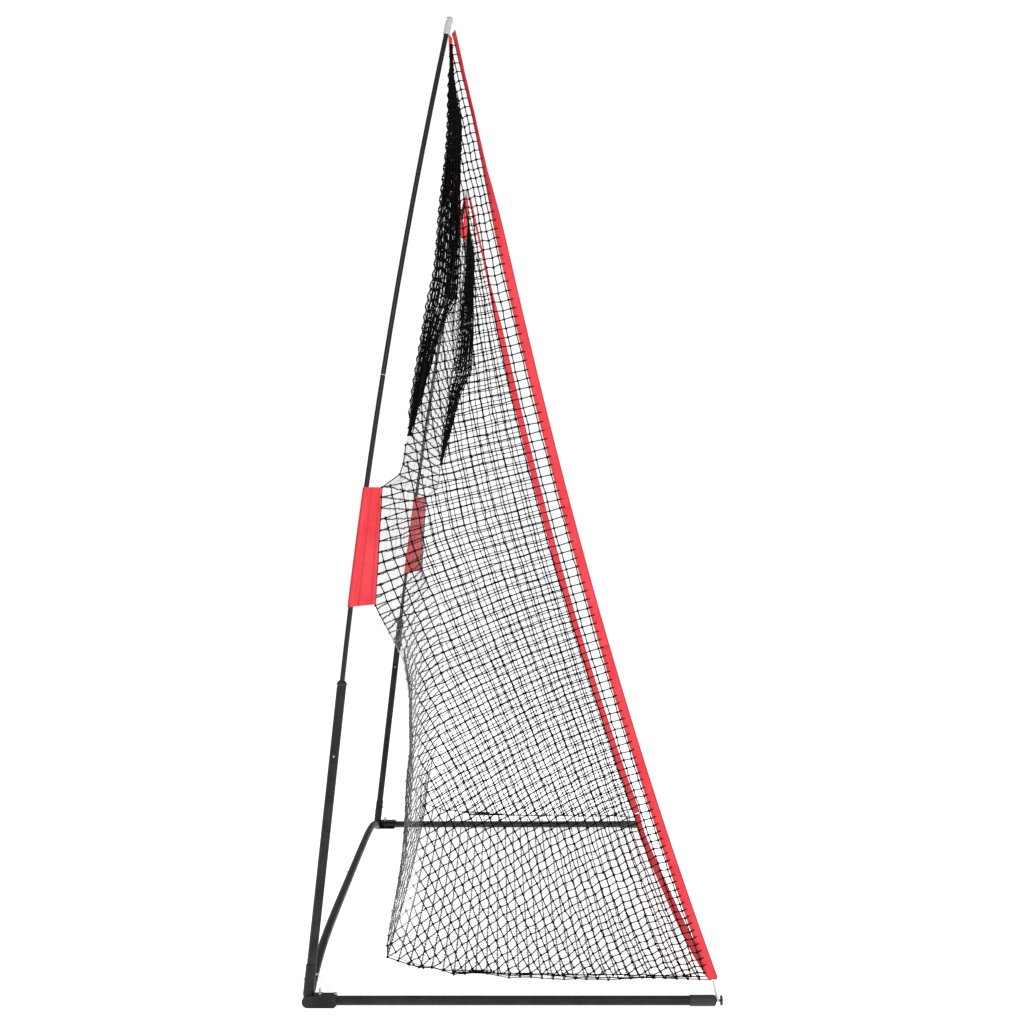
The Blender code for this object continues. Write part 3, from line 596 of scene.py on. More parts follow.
def twine_with_painted_backlight(name, colour, pale, opacity):
    """Black twine, with painted backlight: pale and sheer on the faces that its piece marks as
    sheer.
    """
    made = twisted_thread(name, colour)
    # painted backlight: the faces marked sheer are painted pale and made see-through, standing
    # in for black twine washed out by bright light behind the bag
    marked = add(made.tree, "ShaderNodeAttribute", attribute_name="sheer")
    fade = add(made.tree, "ShaderNodeMapRange", {"To Min": 1.0, "To Max": opacity})
    wire(made.tree, (marked.outputs["Fac"], fade.inputs["Value"]),
         (fade.outputs["Result"], made.shader.inputs["Alpha"]))
    made.tint(marked.outputs["Fac"], colour, pale)
    return made.material


# ---- tapes ----
TAPE_HALF = [(-1.0, 0.0), (-0.97, 0.7), (-0.86, 1.0), (-0.79, 1.0), (-0.74, 0.72),
             (-0.69, 1.0), (-0.35, 0.95), (0.0, 0.92), (0.35, 0.95), (0.69, 1.0),
             (0.74, 0.72), (0.79, 1.0), (0.86, 1.0), (0.97, 0.7), (1.0, 0.0)]
TAPE_PROFILE = np.array(TAPE_HALF + [(a, -h) for a, h in TAPE_HALF[-2:0:-1]])
SEAM_AT = 0.74


def waver(along, seed, longest=0.31):
    """A smooth wandering between -1 and 1 along a length, the same every time."""
    total = np.zeros_like(along)
    for k in range(1, 5):
        total += math.cos(seed * 2.3 + k) * np.sin(along * 2 * math.pi * k * 1.37 / longest
                                                   + seed * k * 1.9) / k
    return total / 2.0


def sewn_tape(name, path, wide, width, thickness, materials, pitch=0.006, seed=1.0):
    """A bound tape along a path, with a row of stitches near each edge."""
    along = tangents(path)
    wide = unit(wide - (wide * along).sum(1, keepdims=True) * along)
    up = np.cross(along, wide)
    run = np.linalg.norm(np.gradient(path, axis=0), axis=1).cumsum()
    path = path + up * (waver(run, seed) * 0.0012)[:, None]
    across = TAPE_PROFILE[:, 0][None, :, None] * (width / 2)
    thick = TAPE_PROFILE[:, 1][None, :, None] * (thickness / 2)
    rings = path[:, None] + wide[:, None] * across + up[:, None] * thick
    points, faces, uvs = loft(rings)
    edges, ups = [], [np.zeros((len(points), 3))]
    seam = np.zeros(len(points), bool)
    for edge in (-SEAM_AT, SEAM_AT):
        first = len(points)
        line = path + wide * (edge * width / 2)
        points = np.vstack([points, line])
        ups.append(up)
        seam = np.concatenate([seam, np.ones(len(line), bool)])
        edges += [(first + i, first + i + 1) for i in range(len(line) - 1)]
    obj = plain_mesh(name, points, faces, edges, uvs, {"seam": seam}, np.vstack(ups))
    obj.data.materials.append(materials[0])
    obj.data.shade_smooth()
    return grown(obj, tree_named("Stitched seam", stitch_tree),
                 {"Pitch": pitch, "Stitch Length": pitch * 0.66,
                  "Stitch Height": thickness + 0.0004, "Thread": materials[1]})


# ---- netting ----
def cut(chains, level):
    """Split twine chains where level(points) changes sign; gives (below, above)."""
    below, above = [], []
    for points, knots in chains:
        value = level(points)
        start = 0
        held = [points[0]]
        flags = [knots[0]]
        for i in range(1, len(points)):
            if (value[i] >= 0) != (value[i - 1] >= 0):
                share = value[i - 1] / (value[i - 1] - value[i])
                cross = points[i - 1] + (points[i] - points[i - 1]) * share
                held.append(cross)
                flags.append(False)
                (above if value[i - 1] >= 0 else below).append((np.array(held), flags))
                held, flags = [cross], [False]
            held.append(points[i])
            flags.append(knots[i])
        if len(held) > 1:
            (above if value[-1] >= 0 else below).append((np.array(held), flags))
    return below, above


def twine_lay(line, sides):
    """Where a twine's first corner points, so that one of its sides faces across the bag, the
    side that the painted backlight can mark.
    """
    along = tangents(line)
    across = np.where(np.abs(along[:, :1]) < 0.9, (1.0, 0.0, 0.0), (0.0, 0.0, 1.0))
    across = unit(across - (across * along).sum(1, keepdims=True) * along)
    turn = math.pi / sides
    return across * math.cos(turn) + np.cross(along, across) * math.sin(turn)


def mark_painted_backlight(obj, ranges):
    """Mark the faces that face across the bag, which the painted backlight makes pale and sheer:
    (axis, where unmarked, where marked).
    """
    faces = obj.data.polygons
    normal, centre = np.empty(len(faces) * 3), np.empty(len(faces) * 3)
    faces.foreach_get("normal", normal)
    faces.foreach_get("center", centre)
    marks = np.where(np.abs(normal[::3]) > PAINTED_BACKLIGHT_FACING, 1.0, 0.0)
    for axis, low, high in ranges:
        marks *= smooth((centre["XYZ".index(axis)::3] - low) / (high - low))
    # painted backlight: the sheer attribute says where the twine is painted pale and made
    # see-through
    attribute = obj.data.attributes.new("sheer", "FLOAT", "FACE")
    attribute.data.foreach_set("value", marks.astype(np.float32))


def netting(name, chains, material, diameter, sides, knot_radius):
    """One piece of knotted netting from its twine chains."""
    points, edges, knots, lays = [], [], [], []
    for line, flags in chains:
        first = len(points)
        points.extend(line)
        knots.extend(flags)
        lays.append(twine_lay(line, sides))
        edges += [(first + i, first + i + 1) for i in range(len(line) - 1)]
    obj = plain_mesh(name, points, (), edges, None, {"knot": knots}, np.vstack(lays))
    return grown(obj, tree_named("Knotted twine", twine_tree),
                 {"Twine Diameter": diameter, "Twine Sides": sides,
                  "Knot Radius": knot_radius, "Twine": material})


# ---- outlines of the bag, as seen from its side: (height, distance back) ----
MESH = 0.024                # knot to knot
FIRST_COLUMN = 0.014        # mouth edge to the first column of knots
GATHERED_COLUMNS = 15       # columns that run on up into the gathered corner
GATHER_LOW = 1.235
ROW_PITCH = np.array([      # along the mouth's edge: (distance from its top, pitch)
    (0.00, 0.0200), (0.85, 0.0200), (1.36, 0.0185), (1.60, 0.0177), (2.00, 0.0160),
    (2.30, 0.0160)])
COLUMN_PITCH = np.array([   # square to the mouth's edge: (height, pitch)
    (0.05, 0.0140), (0.22, 0.0158), (0.50, 0.0174), (0.66, 0.0188), (0.84, 0.0210),
    (1.10, 0.0235), (1.33, 0.0228), (1.50, 0.0200), (1.60, 0.0165), (1.75, 0.0118),
    (1.90, 0.0105), (2.15, 0.0105)])
REAR_LINE = np.array([
    (0.060, 0.2765), (0.108, 0.2785), (0.187, 0.2675), (0.320, 0.2360), (0.490, 0.2200),
    (0.667, 0.2245), (0.754, 0.2370), (0.810, 0.2635), (0.877, 0.2965), (1.134, 0.2815),
    (1.160, 0.2450), (1.190, 0.2365), (1.284, 0.2265), (1.350, 0.2198), (1.450, 0.2043),
    (1.550, 0.1888), (1.617, 0.1733), (1.750, 0.1622), (1.882, 0.1467), (1.949, 0.1422),
    (2.015, 0.1400), (2.085, 0.1380), (2.149, 0.1350)])
GATHER_LINE = np.array([
    (1.170, 0.2365), (1.251, 0.2198), (1.318, 0.1998), (1.384, 0.1843), (1.450, 0.1688),
    (1.484, 0.1577), (1.517, 0.1444), (1.550, 0.1223), (1.683, 0.1157), (1.816, 0.1160),
    (1.949, 0.1120), (2.015, 0.1267), (2.085, 0.1330), (2.149, 0.1340)])
REAR_X_LINE = np.array([
    (0.060, 0.962), (0.400, 0.972), (0.600, 0.990), (0.754, 1.020), (0.877, 1.0545),
    (1.134, 1.0545), (1.190, 1.030), (1.350, 0.985), (1.600, 0.960), (1.900, 0.950),
    (2.149, 0.951)])
BOTTOM_LINE = np.array([
    (-0.460, 0.0500), (-0.300, 0.0520), (-0.106, 0.0540), (0.005, 0.0550),
    (0.071, 0.0640), (0.127, 0.0562), (0.154, 0.0633), (0.181, 0.0700), (0.208, 0.0704),
    (0.235, 0.0781), (0.280, 0.0932), (0.300, 0.0960)])
PAINTED_BACKLIGHT_FACING = 0.4          # twine that faces across the bag more than this can be painted pale and sheer, as painted backlight
TILT = 0.35                 # slope of the rows low down, behind the mouth
BACK_BULGE = 0.045
FLOOR_DIP = 0.020


def rear_y(z):
    return np.interp(z, REAR_LINE[:, 0], REAR_LINE[:, 1])


def rear_x(z):
    return np.interp(z, REAR_X_LINE[:, 0], REAR_X_LINE[:, 1])


def bottom_z(y):
    return np.interp(y, BOTTOM_LINE[:, 0], BOTTOM_LINE[:, 1])


def drift(a, b, seed):
    """A smooth unevenness over a sheet, between about -1 and 1."""
    return (np.sin(a * 23 + seed) * np.cos(b * 17 - seed * 2)
            + 0.6 * np.sin(a * 51 - b * 37 + seed * 3)
            + 0.4 * np.cos(a * 97 + b * 83 + seed)) / 2.0


class SidePanel:
    """Lays out one side panel: rows square to the mouth's edge, columns along it."""

    def __init__(self):
        edge = side_edge(1, np.linspace(0, 1, EDGE_POINTS))
        run = np.linalg.norm(np.diff(edge[:, 1:], axis=0), axis=1)
        self.edge = edge
        self.along = np.concatenate([[0.0], np.cumsum(run)])
        self.way = tangents(edge[:, 1:])
        self.starts = [0.030]
        while self.starts[-1] < self.along[-1] - 0.030:
            pitch = np.interp(self.starts[-1], ROW_PITCH[:, 0], ROW_PITCH[:, 1])
            self.starts.append(self.starts[-1] + pitch)
        self.rows = len(self.starts)

    def base(self, row):
        s = self.starts[row]
        point = [np.interp(s, self.along, self.edge[:, k]) for k in range(3)]
        ty, tz = (np.interp(s, self.along, self.way[:, k]) for k in range(2))
        return np.array(point), np.array((-tz, ty))

    def flat(self, row, d):
        """The (y, z) of a point a distance d behind the mouth's edge on one row."""
        point, normal = self.base(row)
        y = point[1] + normal[0] * d
        z = point[2] + normal[1] * d
        low = min(max(1.10 - z, 0.0) / 0.88, 1.1)
        z -= TILT * low * (d * d / 0.5 if d < 0.25 else d - 0.125)
        fade = min(d / 0.1, 1.0)
        y += 0.0030 * fade * drift(y, z, 1.0)
        z += 0.0030 * fade * drift(z, y, 4.0)
        return y, z

    def inside(self, y, z):
        return y < rear_y(z) and z > bottom_z(y) and z > 0.03

    def reach(self, row):
        """How far the row runs back, and where on it the gathered part starts."""
        start = None
        d = 0.0
        while d < 0.80:
            y, z = self.flat(row, d)
            if not self.inside(y, z):
                break
            if start is None and z > GATHER_LOW:
                if y > np.interp(z, GATHER_LINE[:, 0], GATHER_LINE[:, 1]):
                    start = d
            d += 0.001
        return d, start

    def place(self, row, d, width, side, depth=0.0):
        y, z = self.flat(row, d)
        front = self.base(row)[0][0]
        back = rear_x(z)
        share = smooth(np.array(d / max(width, 0.02))) if width > 0.05 else 0.5
        x = front + (back - front) * float(share) + depth
        x += 0.004 * drift(y * 0.7, z * 0.6, 9.0) * min(d / 0.08, 1.0)
        return np.array((side * x, y, z))

    def chains(self, side, seed):
        rng = np.random.default_rng(seed)
        columns = {}
        chains, rim = [], []
        for row in range(self.rows):
            width, start = self.reach(row)
            high = self.base(row)[0][2]
            pitch = np.interp(high, COLUMN_PITCH[:, 0], COLUMN_PITCH[:, 1])
            full = FIRST_COLUMN + GATHERED_COLUMNS * pitch
            if width < 0.004:
                continue
            line, flags = [self.place(row, 0.002, width, side)], [False]
            c = 0
            last = 0.002
            while True:
                d = FIRST_COLUMN + c * pitch
                depth = 0.3 * math.sqrt(max(MESH ** 2 - pitch ** 2, 0.0)) * (-1) ** c
                if start is not None and width < full:
                    if c >= GATHERED_COLUMNS:
                        break
                    if d > start:
                        d = start + (d - start) * (width - start) / (full - start)
                        gap = max(d - last, 0.001)
                        depth = 0.5 * math.sqrt(max(MESH ** 2 - gap ** 2, 0.0))
                        depth *= (-1) ** c * 0.8
                elif d > width - 0.006:
                    break
                jitter = rng.normal(0, 0.0006, 3)
                point = self.place(row, d, width, side, depth) + jitter
                line.append(point)
                flags.append(True)
                columns.setdefault(c, {})[row] = (point, d)
                last = d
                c += 1
            if start is None or width >= full:
                end = self.place(row, width, width, side)
                line.append(end)
                flags.append(True)
                rim.append((end, row))
            if len(line) > 1:
                chains.append((np.array(line), flags))
        for c, found in columns.items():
            held = []
            for row in sorted(found):
                if held and row - held[-1] > 1:
                    self.add_column(chains, found, held, side, rim)
                    held = []
                held.append(row)
            self.add_column(chains, found, held, side, rim)
        rim_line = sorted((r for r in rim if r[1] >= 0), key=lambda r: -r[0][2])
        if len(rim_line) > 2:
            points = np.array([r[0] for r in rim_line])
            chains.append((points, [False] * len(points)))
        return chains

    def add_column(self, chains, found, held, side, rim):
        line = [found[row][0] for row in held]
        flags = [True] * len(line)
        last = held[-1]
        d = found[last][1]
        if len(line) > 1:
            here, ahead = line[-1], line[-1] + (line[-1] - line[-2])
            for share in np.linspace(0.05, 1.0, 20):
                trial = here + (ahead - here) * share
                if not self.inside(trial[1], trial[2]):
                    if share > 0.1:
                        line.append(trial)
                        flags.append(True)
                        rim.append((trial, -1 if trial[1] > 0.15 else last))
                    break
        if len(line) > 1:
            chains.append((np.array(line), flags))


def gathered_corner(side, seed):
    """The slack of the back netting, drawn up in folds under one top corner."""
    rng = np.random.default_rng(seed)
    count = 24
    tops = 2.070
    phases = np.cumsum(rng.normal(0, 0.004, count))
    phases = np.clip(phases - phases.mean(), -0.011, 0.011)
    lane = rng.normal(0, 0.35, count)
    depth_bias = rng.normal(0, 0.006, count)
    rows = int((tops - GATHER_LOW) / MESH)
    grid = {}
    for r in range(rows + 1):
        for k in range(count):
            z = tops - r * MESH + phases[k] * min(r / 6, 1.0)
            front = np.interp(z, GATHER_LINE[:, 0], GATHER_LINE[:, 1])
            back = rear_y(z) + 0.001
            width = back - front
            share = (k + 0.5) / count
            keep = min(width / 0.034, 1.0) if z < 1.7 else 1.0
            if abs(share - 0.62) > 0.62 * keep:
                continue
            spot = share + 0.5 * (lane[k] + waver(np.array([z]), k * 1.7)[0]) / count
            y = front + width * min(max(spot, 0.0), 1.0)
            open_out = min(max((2.05 - z) / 0.12, 0.08), 1.0)
            x = rear_x(z) - 0.020 + depth_bias[k]
            x += (-1) ** k * 0.0105 * open_out + rng.normal(0, 0.0010)
            grid[k, r] = np.array((side * x, y, z))
    chains = []
    for k in range(count):
        held = [grid[k, r] for r in range(rows + 1) if (k, r) in grid]
        if k > count - 4 and len(held) > 1:
            middles = [(a + b) / 2 + (0, 0.0045, 0) for a, b in zip(held, held[1:])]
            held = [p for pair in zip(held, middles) for p in pair] + held[-1:]
        if len(held) > 1:
            flags = [True] * len(held) if k <= count - 4 else [
                i % 2 == 0 for i in range(len(held))]
            chains.append((np.array(held), flags))
    for r in range(1, rows + 1):
        held = [grid[k, r] for k in range(count) if (k, r) in grid]
        if len(held) > 1:
            chains.append((np.array(held), [False] * len(held)))
    return chains


def back_edge(z):
    """The back panel's half width, and its distance back at the edge."""
    return rear_x(z) - 0.006, rear_y(z) - 0.001


def back_point(u, z):
    """A point of the back panel; u is -1 at the left edge and 1 at the right."""
    half, edge = back_edge(z)
    bulge = BACK_BULGE * float(smooth(np.array((1.5 - z) / 1.2)))
    middle = min(0.272, edge + bulge)
    y = edge + (middle - edge) * (1 - abs(u) ** 2.2)
    y += 0.003 * drift(u, z, 2.0) * (1 - abs(u) ** 8)
    return np.array((u * half, y, z + 0.002 * drift(z, u, 6.0)))


def back_chains():
    low, count = 0.104, 77
    chains = []
    for k in range(count):
        u = -1 + 2 * k / (count - 1)
        x = u * TIP_X
        top = top_edge_z(min(abs(x), 0.95)) - 0.004
        heights = [low + 0.0005]
        while heights[-1] + MESH * 1.3 < top:
            heights.append(heights[-1] + MESH)
        heights.append(top)
        line = [back_point(u, z) for z in heights]
        chains.append((np.array(line), [True] * (len(line) - 1) + [False]))
    z = low
    while z < 2.06:
        inner = 0.0
        if z > top_edge_z(0.0) - 0.004:
            inner = 0.982 * math.sqrt(max(1 - (TOP_CORNER_Z - z) / TOP_SAG, 0.0)) / TIP_X
        for ends in ([(-1, 1)] if inner == 0.0 else [(-1, -inner), (inner, 1)]):
            steps = max(int((ends[1] - ends[0]) * 38), 2)
            line = [back_point(u, z) for u in np.linspace(*ends, steps + 1)]
            chains.append((np.array(line), [False] * len(line)))
        z += MESH
    return chains


def floor_point(u, v):
    """A point of the net's floor; u runs across it and v from the mouth to the back."""
    front = FRONT_CORNER[0] + BOTTOM_BOW * (1 - abs(u) ** 4) + 0.004
    back = 0.2775 - 0.006 * (1 - u * u)
    y = front + (back - front) * v
    edge = 0.990 + (rear_x(0.1) - 0.990) * v
    rim = float(bottom_z(y))
    inboard = (1 - abs(u)) * edge
    dip = FLOOR_DIP * (1 - math.exp(-inboard / 0.025)) * math.sin(math.pi * min(v * 1.02, 1))
    dip += 0.010 * math.sin(math.pi * v) * (1 - u * u)
    z = rim - dip + 0.004 * drift(u, v, 3.0) * math.sin(math.pi * v)
    return np.array((u * edge, y, max(z, 0.032)))


def floor_chains():
    across, deep = 78, 29
    chains = []
    for k in range(across + 1):
        u = -1 + 2 * k / across
        line = [floor_point(u, j / deep) for j in range(deep + 1)]
        chains.append((np.array(line), [True] * len(line)))
    for j in range(deep + 1):
        line = [floor_point(-1 + 2 * k / across, j / deep) for k in range(across + 1)]
        chains.append((np.array(line), [False] * len(line)))
    return chains


# ---- the soft pieces' transforms, baked into their points ----
def bend_to_arm(obj, word):
    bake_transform(obj)


def bend_to_pole(obj, word):
    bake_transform(obj)


# ---- settings ----
class NetSettings(bpy.types.PropertyGroup):
    twine: bpy.props.FloatProperty(
        name="Twine", description="Diameter of the netting twine", default=0.0025,
        min=0.0015, max=0.0030, unit="LENGTH")
    knot: bpy.props.FloatProperty(
        name="Knot", description="Radius of the netting knots", default=0.0034,
        min=0.0015, max=0.0040, unit="LENGTH")
    black: bpy.props.FloatVectorProperty(
        name="Black twine", description="Colour of the netting",
        default=(0.004, 0.004, 0.004), size=3, subtype="COLOR", min=0.0, max=1.0)
    # painted backlight: the pale colour and the opacity of the twine faces painted as washed out
    # by light behind the bag
    pale: bpy.props.FloatVectorProperty(
        name="Pale twine, painted backlight", description="Colour of the twine's sheer sides",
        default=(0.88, 0.88, 0.88), size=3, subtype="COLOR", min=0.0, max=1.0)
    sheer: bpy.props.FloatProperty(
        name="Sheer twine, painted backlight", description="Opacity of the twine's sheer sides",
        default=0.06, min=0.0, max=1.0, subtype="FACTOR")


class TapeSettings(bpy.types.PropertyGroup):
    width: bpy.props.FloatProperty(
        name="Width", description="Width of the border tape", default=0.022,
        min=0.018, max=0.024, unit="LENGTH")
    thickness: bpy.props.FloatProperty(
        name="Thickness", description="Thickness of the border tape", default=0.0024,
        min=0.0010, max=0.0030, unit="LENGTH")
    red: bpy.props.FloatVectorProperty(
        name="Red", description="Colour of the border tape and sleeves",
        default=(0.84, 0.056, 0.074), size=3, subtype="COLOR", min=0.0, max=1.0)
    thread: bpy.props.FloatVectorProperty(
        name="Thread", description="Colour of the stitching",
        default=(0.66, 0.035, 0.045), size=3, subtype="COLOR", min=0.0, max=1.0)
    webbing: bpy.props.FloatVectorProperty(
        name="Webbing", description="Colour of the corner loops",
        default=(0.80, 0.81, 0.82), size=3, subtype="COLOR", min=0.0, max=1.0)


class FrameSettings(bpy.types.PropertyGroup):
    coat: bpy.props.FloatVectorProperty(
        name="Tube coat", description="Colour of the powder coated steel",
        default=(0.010, 0.010, 0.011), size=3, subtype="COLOR", min=0.0, max=1.0)
    plastic: bpy.props.FloatVectorProperty(
        name="Black plastic", description="Colour of the caps, bushes and plugs",
        default=(0.012, 0.012, 0.012), size=3, subtype="COLOR", min=0.0, max=1.0)
    tip: bpy.props.FloatVectorProperty(
        name="Pole tips", description="Colour of the grey pole tips",
        default=(0.52, 0.53, 0.54), size=3, subtype="COLOR", min=0.0, max=1.0)
    pole: bpy.props.FloatVectorProperty(
        name="Poles", description="Colour of the fibreglass poles",
        default=(0.008, 0.008, 0.009), size=3, subtype="COLOR", min=0.0, max=1.0)
    steel: bpy.props.FloatVectorProperty(
        name="Bare steel", description="Colour of the pins, bolts and wires",
        default=(0.62, 0.63, 0.64), size=3, subtype="COLOR", min=0.0, max=1.0)


FRAME_FINISHES = {
    "steel_tube": ("corner_bracket", "upright_tube", "front_arm", "rear_bar"),
    "bright_steel": ("arm_pivot_bolt", "arm_pivot_nut", "lock_pin", "lock_wire",
                     "wire_anchor", "upright_button", "bar_button", "pole_ferrule",
                     "pole_stop_pin"),
    "black_plastic": ("tube_top_bush", "arm_tail_plug", "arm_end_cap"),
    "pole_fibreglass": ("pole_lower", "pole_upper"),
    "grey_plastic": ("pole_tip",),
}


# ---- operators ----
class TARGETNET_OT_frame_finishes(bpy.types.Operator):
    """Give every rigid piece of the frame its finish"""
    bl_idname = "target_net.frame_finishes"
    bl_label = "Finish the Frame"

    def execute(self, context):
        look = context.scene.target_net_frame
        finishes = {
            "steel_tube": powder_coat("Black powder coat", tuple(look.coat)),
            "bright_steel": bare_steel("Zinc plated steel", tuple(look.steel)),
            "black_plastic": moulded_plastic("Moulded black plastic", tuple(look.plastic)),
            "pole_fibreglass": drawn_fibreglass("Black fibreglass", tuple(look.pole)),
            "grey_plastic": moulded_plastic("Moulded grey plastic", tuple(look.tip),
                                            0.45, 0.60),
        }
        for node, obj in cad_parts.items():
            for finish, starts in FRAME_FINISHES.items():
                if node.startswith(starts):
                    obj.data.materials.clear()
                    obj.data.materials.append(finishes[finish])
        return {"FINISHED"}


class TARGETNET_OT_side_tapes(bpy.types.Operator):
    """Build the stitched tapes down both sides of the mouth"""
    bl_idname = "target_net.side_tapes"
    bl_label = "Build Side Tapes"

    twist_at = np.array([(0.0, 0.0), (1.60, 0.0), (1.68, 10.0), (1.76, 42.0), (1.85, 68.0),
                         (1.93, 74.0), (2.00, 74.0), (2.06, 72.0), (2.13, 70.0)])

    def execute(self, context):
        look = context.scene.target_net_tape
        materials = tape_materials(look)
        for word, side in SIDES.items():
            path = spaced(side_edge(side, np.linspace(0, 1, EDGE_POINTS)), PATH_STEP)
            twist = np.radians(np.interp(path[:, 2], self.twist_at[:, 0],
                                         self.twist_at[:, 1]))[:, None]
            along = tangents(path)
            out = np.array((side, 0.0, 0.0))
            flat = unit(np.cross(along, out) * side)
            wide = flat * np.cos(twist) + out * np.sin(twist)
            split = int(np.argmin(np.abs(path[:, 2] - NET_SPLIT_Z)))
            for part, first, last in (("upper", 0, split), ("lower", split, len(path) - 1)):
                rows = slice(first, last + 1)
                obj = sewn_tape(f"mouth_tape_{part}_{word}", path[rows], wide[rows],
                                look.width, look.thickness, materials, seed=2.0 + side)
                bend = bend_to_pole if part == "upper" else bend_to_arm
                bend(obj, word)
                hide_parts(f"border_{word}")
        return {"FINISHED"}


def tape_materials(look):
    name = "Woven red tape"
    tape = bpy.data.materials.get(name) or woven_cloth(
        name, tuple(look.red), painted_edge_shade_pitch=look.width)
    thread = bpy.data.materials.get("Red thread")
    thread = thread or twisted_thread("Red thread", tuple(look.thread)).material
    return tape, thread


class TARGETNET_OT_cross_tapes(bpy.types.Operator):
    """Build the sagging top tape and the bottom tape of the mouth"""
    bl_idname = "target_net.cross_tapes"
    bl_label = "Build Top and Bottom Tapes"

    def execute(self, context):
        look = context.scene.target_net_tape
        materials = tape_materials(look)
        for word, side in SIDES.items():
            self.build_top(word, side, look, materials)
            self.build_bottom(word, side, look, materials)
        return {"FINISHED"}

    def build_top(self, word, side, look, materials):
        end = HALF_WIDTH - SIDE_INSET_TOP - TAPE_END_GAP
        x = np.linspace(0, end, 90)
        lean = np.radians(np.interp(x, (0, 0.35, 0.75, end), (40, 46, 30, 20)))
        path = np.stack([side * x, np.full_like(x, TIP_Y), top_edge_z(x)], axis=1)
        path = spaced(path, PATH_STEP)
        lean = np.interp(np.abs(path[:, 0]), x, lean)[:, None]
        along = tangents(path)
        back = np.array((0.0, 1.0, 0.0))
        flat = unit(np.cross(along, back) * side)
        wide = flat * np.cos(lean) + back * np.sin(lean)
        obj = sewn_tape(f"top_tape_{word}", path, wide, look.width, look.thickness,
                        materials, seed=5.0 + side)
        bend_to_pole(obj, word)
        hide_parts("border_top")

    def build_bottom(self, word, side, look, materials):
        end = HALF_WIDTH - SIDE_INSET_BOTTOM - TAPE_END_GAP
        u = np.linspace(0, 1, 90)
        back = BOTTOM_BOW * (1 - u ** 4)
        path = np.stack([side * end * u, FRONT_CORNER[0] + back,
                         np.full_like(u, FRONT_CORNER[1] - 0.003)], axis=1)
        path = spaced(path, PATH_STEP)
        wide = np.tile(np.array((0.0, 1.0, 0.10)), (len(path), 1))
        obj = sewn_tape(f"bottom_tape_{word}", path, wide, look.width, look.thickness,
                        materials, seed=8.0 + side)
        bend_to_arm(obj, word)
        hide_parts("border_bottom")


class TARGETNET_OT_sleeves(bpy.types.Operator):
    """Build the stitched cloth sleeves that hold the net to the poles"""
    bl_idname = "target_net.sleeves"
    bl_label = "Build Sleeves"

    wall = 0.0011
    slant = 0.10            # how far the lower edge drops towards the front
    steps = 26

    def outline(self, centre, reach, radius, half, share, seed):
        """A loop of cloth round the pole whose two layers meet in a flat web."""
        root = math.asin(min(half / radius, 0.9))
        arc = 2 * math.pi - 2 * root
        points = []
        legs = 9
        for i in range(legs):
            y = -reach + (reach - radius * math.cos(root)) * i / legs
            points.append((half, y))
        for i in range(15):
            a = -math.pi / 2 + root + arc * i / 14
            points.append((radius * math.cos(a), radius * math.sin(a)))
        for i in range(legs - 1, -1, -1):
            y = -reach + (reach - radius * math.cos(root)) * i / legs
            points.append((-half, y))
        ring = np.zeros((len(points), 3))
        ring[:, :2] = points
        free = smooth((-ring[:, 1] - radius) / max(reach - radius, 0.01))
        sway = math.sin(share * 9 + seed) * 0.0018 + math.sin(share * 23 + seed) * 0.0007
        ring[:, 0] += free * sway
        return ring + centre

    def execute(self, context):
        look = context.scene.target_net_tape
        materials = tape_materials(look)
        for word, side in SIDES.items():
            outer, inner, seams = [], [], [[], []]
            for i in range(self.steps + 1):
                share = i / self.steps
                z = SLEEVE_LOW + (SLEEVE_HIGH - SLEEVE_LOW) * share
                centre = pole_point(side, z)
                reach = SLEEVE_REACH_LOW + (SLEEVE_REACH_HIGH - SLEEVE_REACH_LOW) * share
                reach -= SLEEVE_R
                ring = self.outline(centre, reach, SLEEVE_R, SLEEVE_WEB_HALF, share, side)
                ring[:, 2] += self.slant * (centre[1] - ring[:, 1]) * (1 - share)
                outer.append(ring)
                hole = self.outline(centre, reach - self.wall, SLEEVE_R - self.wall,
                                    SLEEVE_WEB_HALF - self.wall, share, side)
                hole[:, 2] += self.slant * (centre[1] - hole[:, 1]) * (1 - share)
                inner.append(hole)
                seams[0].append(ring[1] * 0.5 + ring[-2] * 0.5)
                seams[1].append(ring[7] * 0.5 + ring[-8] * 0.5)
            self.sew(word, outer, inner, seams, look, materials)
        return {"FINISHED"}

    def sew(self, word, outer, inner, seams, look, materials):
        points, faces, uvs = loft(outer, closed_ends=False)
        more, inside, inside_uvs = loft(inner, closed_ends=False)
        first = len(points)
        size = len(outer[0])
        faces += [[first + k for k in face[::-1]] for face in inside]
        for i in range(0, len(inside_uvs), 4):
            uvs += inside_uvs[i:i + 4][::-1]
        last = (len(outer) - 1) * size
        for k in range(size):
            j = (k + 1) % size
            faces.append((j, k, first + k, first + j))
            faces.append((last + k, last + j, first + last + j, first + last + k))
            uvs += [(0.0, 0.0)] * 8
        points = np.vstack([points, more])
        edges, ups = [], [np.zeros((len(points), 3))]
        seam = np.zeros(len(points), bool)
        for line in seams:
            line = spaced(np.array(line), PATH_STEP)
            start = len(points)
            points = np.vstack([points, line])
            ups.append(np.tile((1.0, 0.0, 0.0), (len(line), 1)))
            seam = np.concatenate([seam, np.ones(len(line), bool)])
            edges += [(start + i, start + i + 1) for i in range(len(line) - 1)]
        obj = plain_mesh(f"sleeve_{word}", points, faces, edges, uvs, {"seam": seam},
                         np.vstack(ups))
        obj.data.materials.append(materials[0])
        obj.data.shade_smooth()
        obj.data.set_sharp_from_angle(angle=math.radians(50))
        grown(obj, tree_named("Stitched seam", stitch_tree),
              {"Pitch": 0.006, "Stitch Length": 0.004, "Stitch Height": 0.0038,
               "Thread": materials[1]})
        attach(obj, f"pole_{word}")
        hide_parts(f"pole_sleeve_{word}")


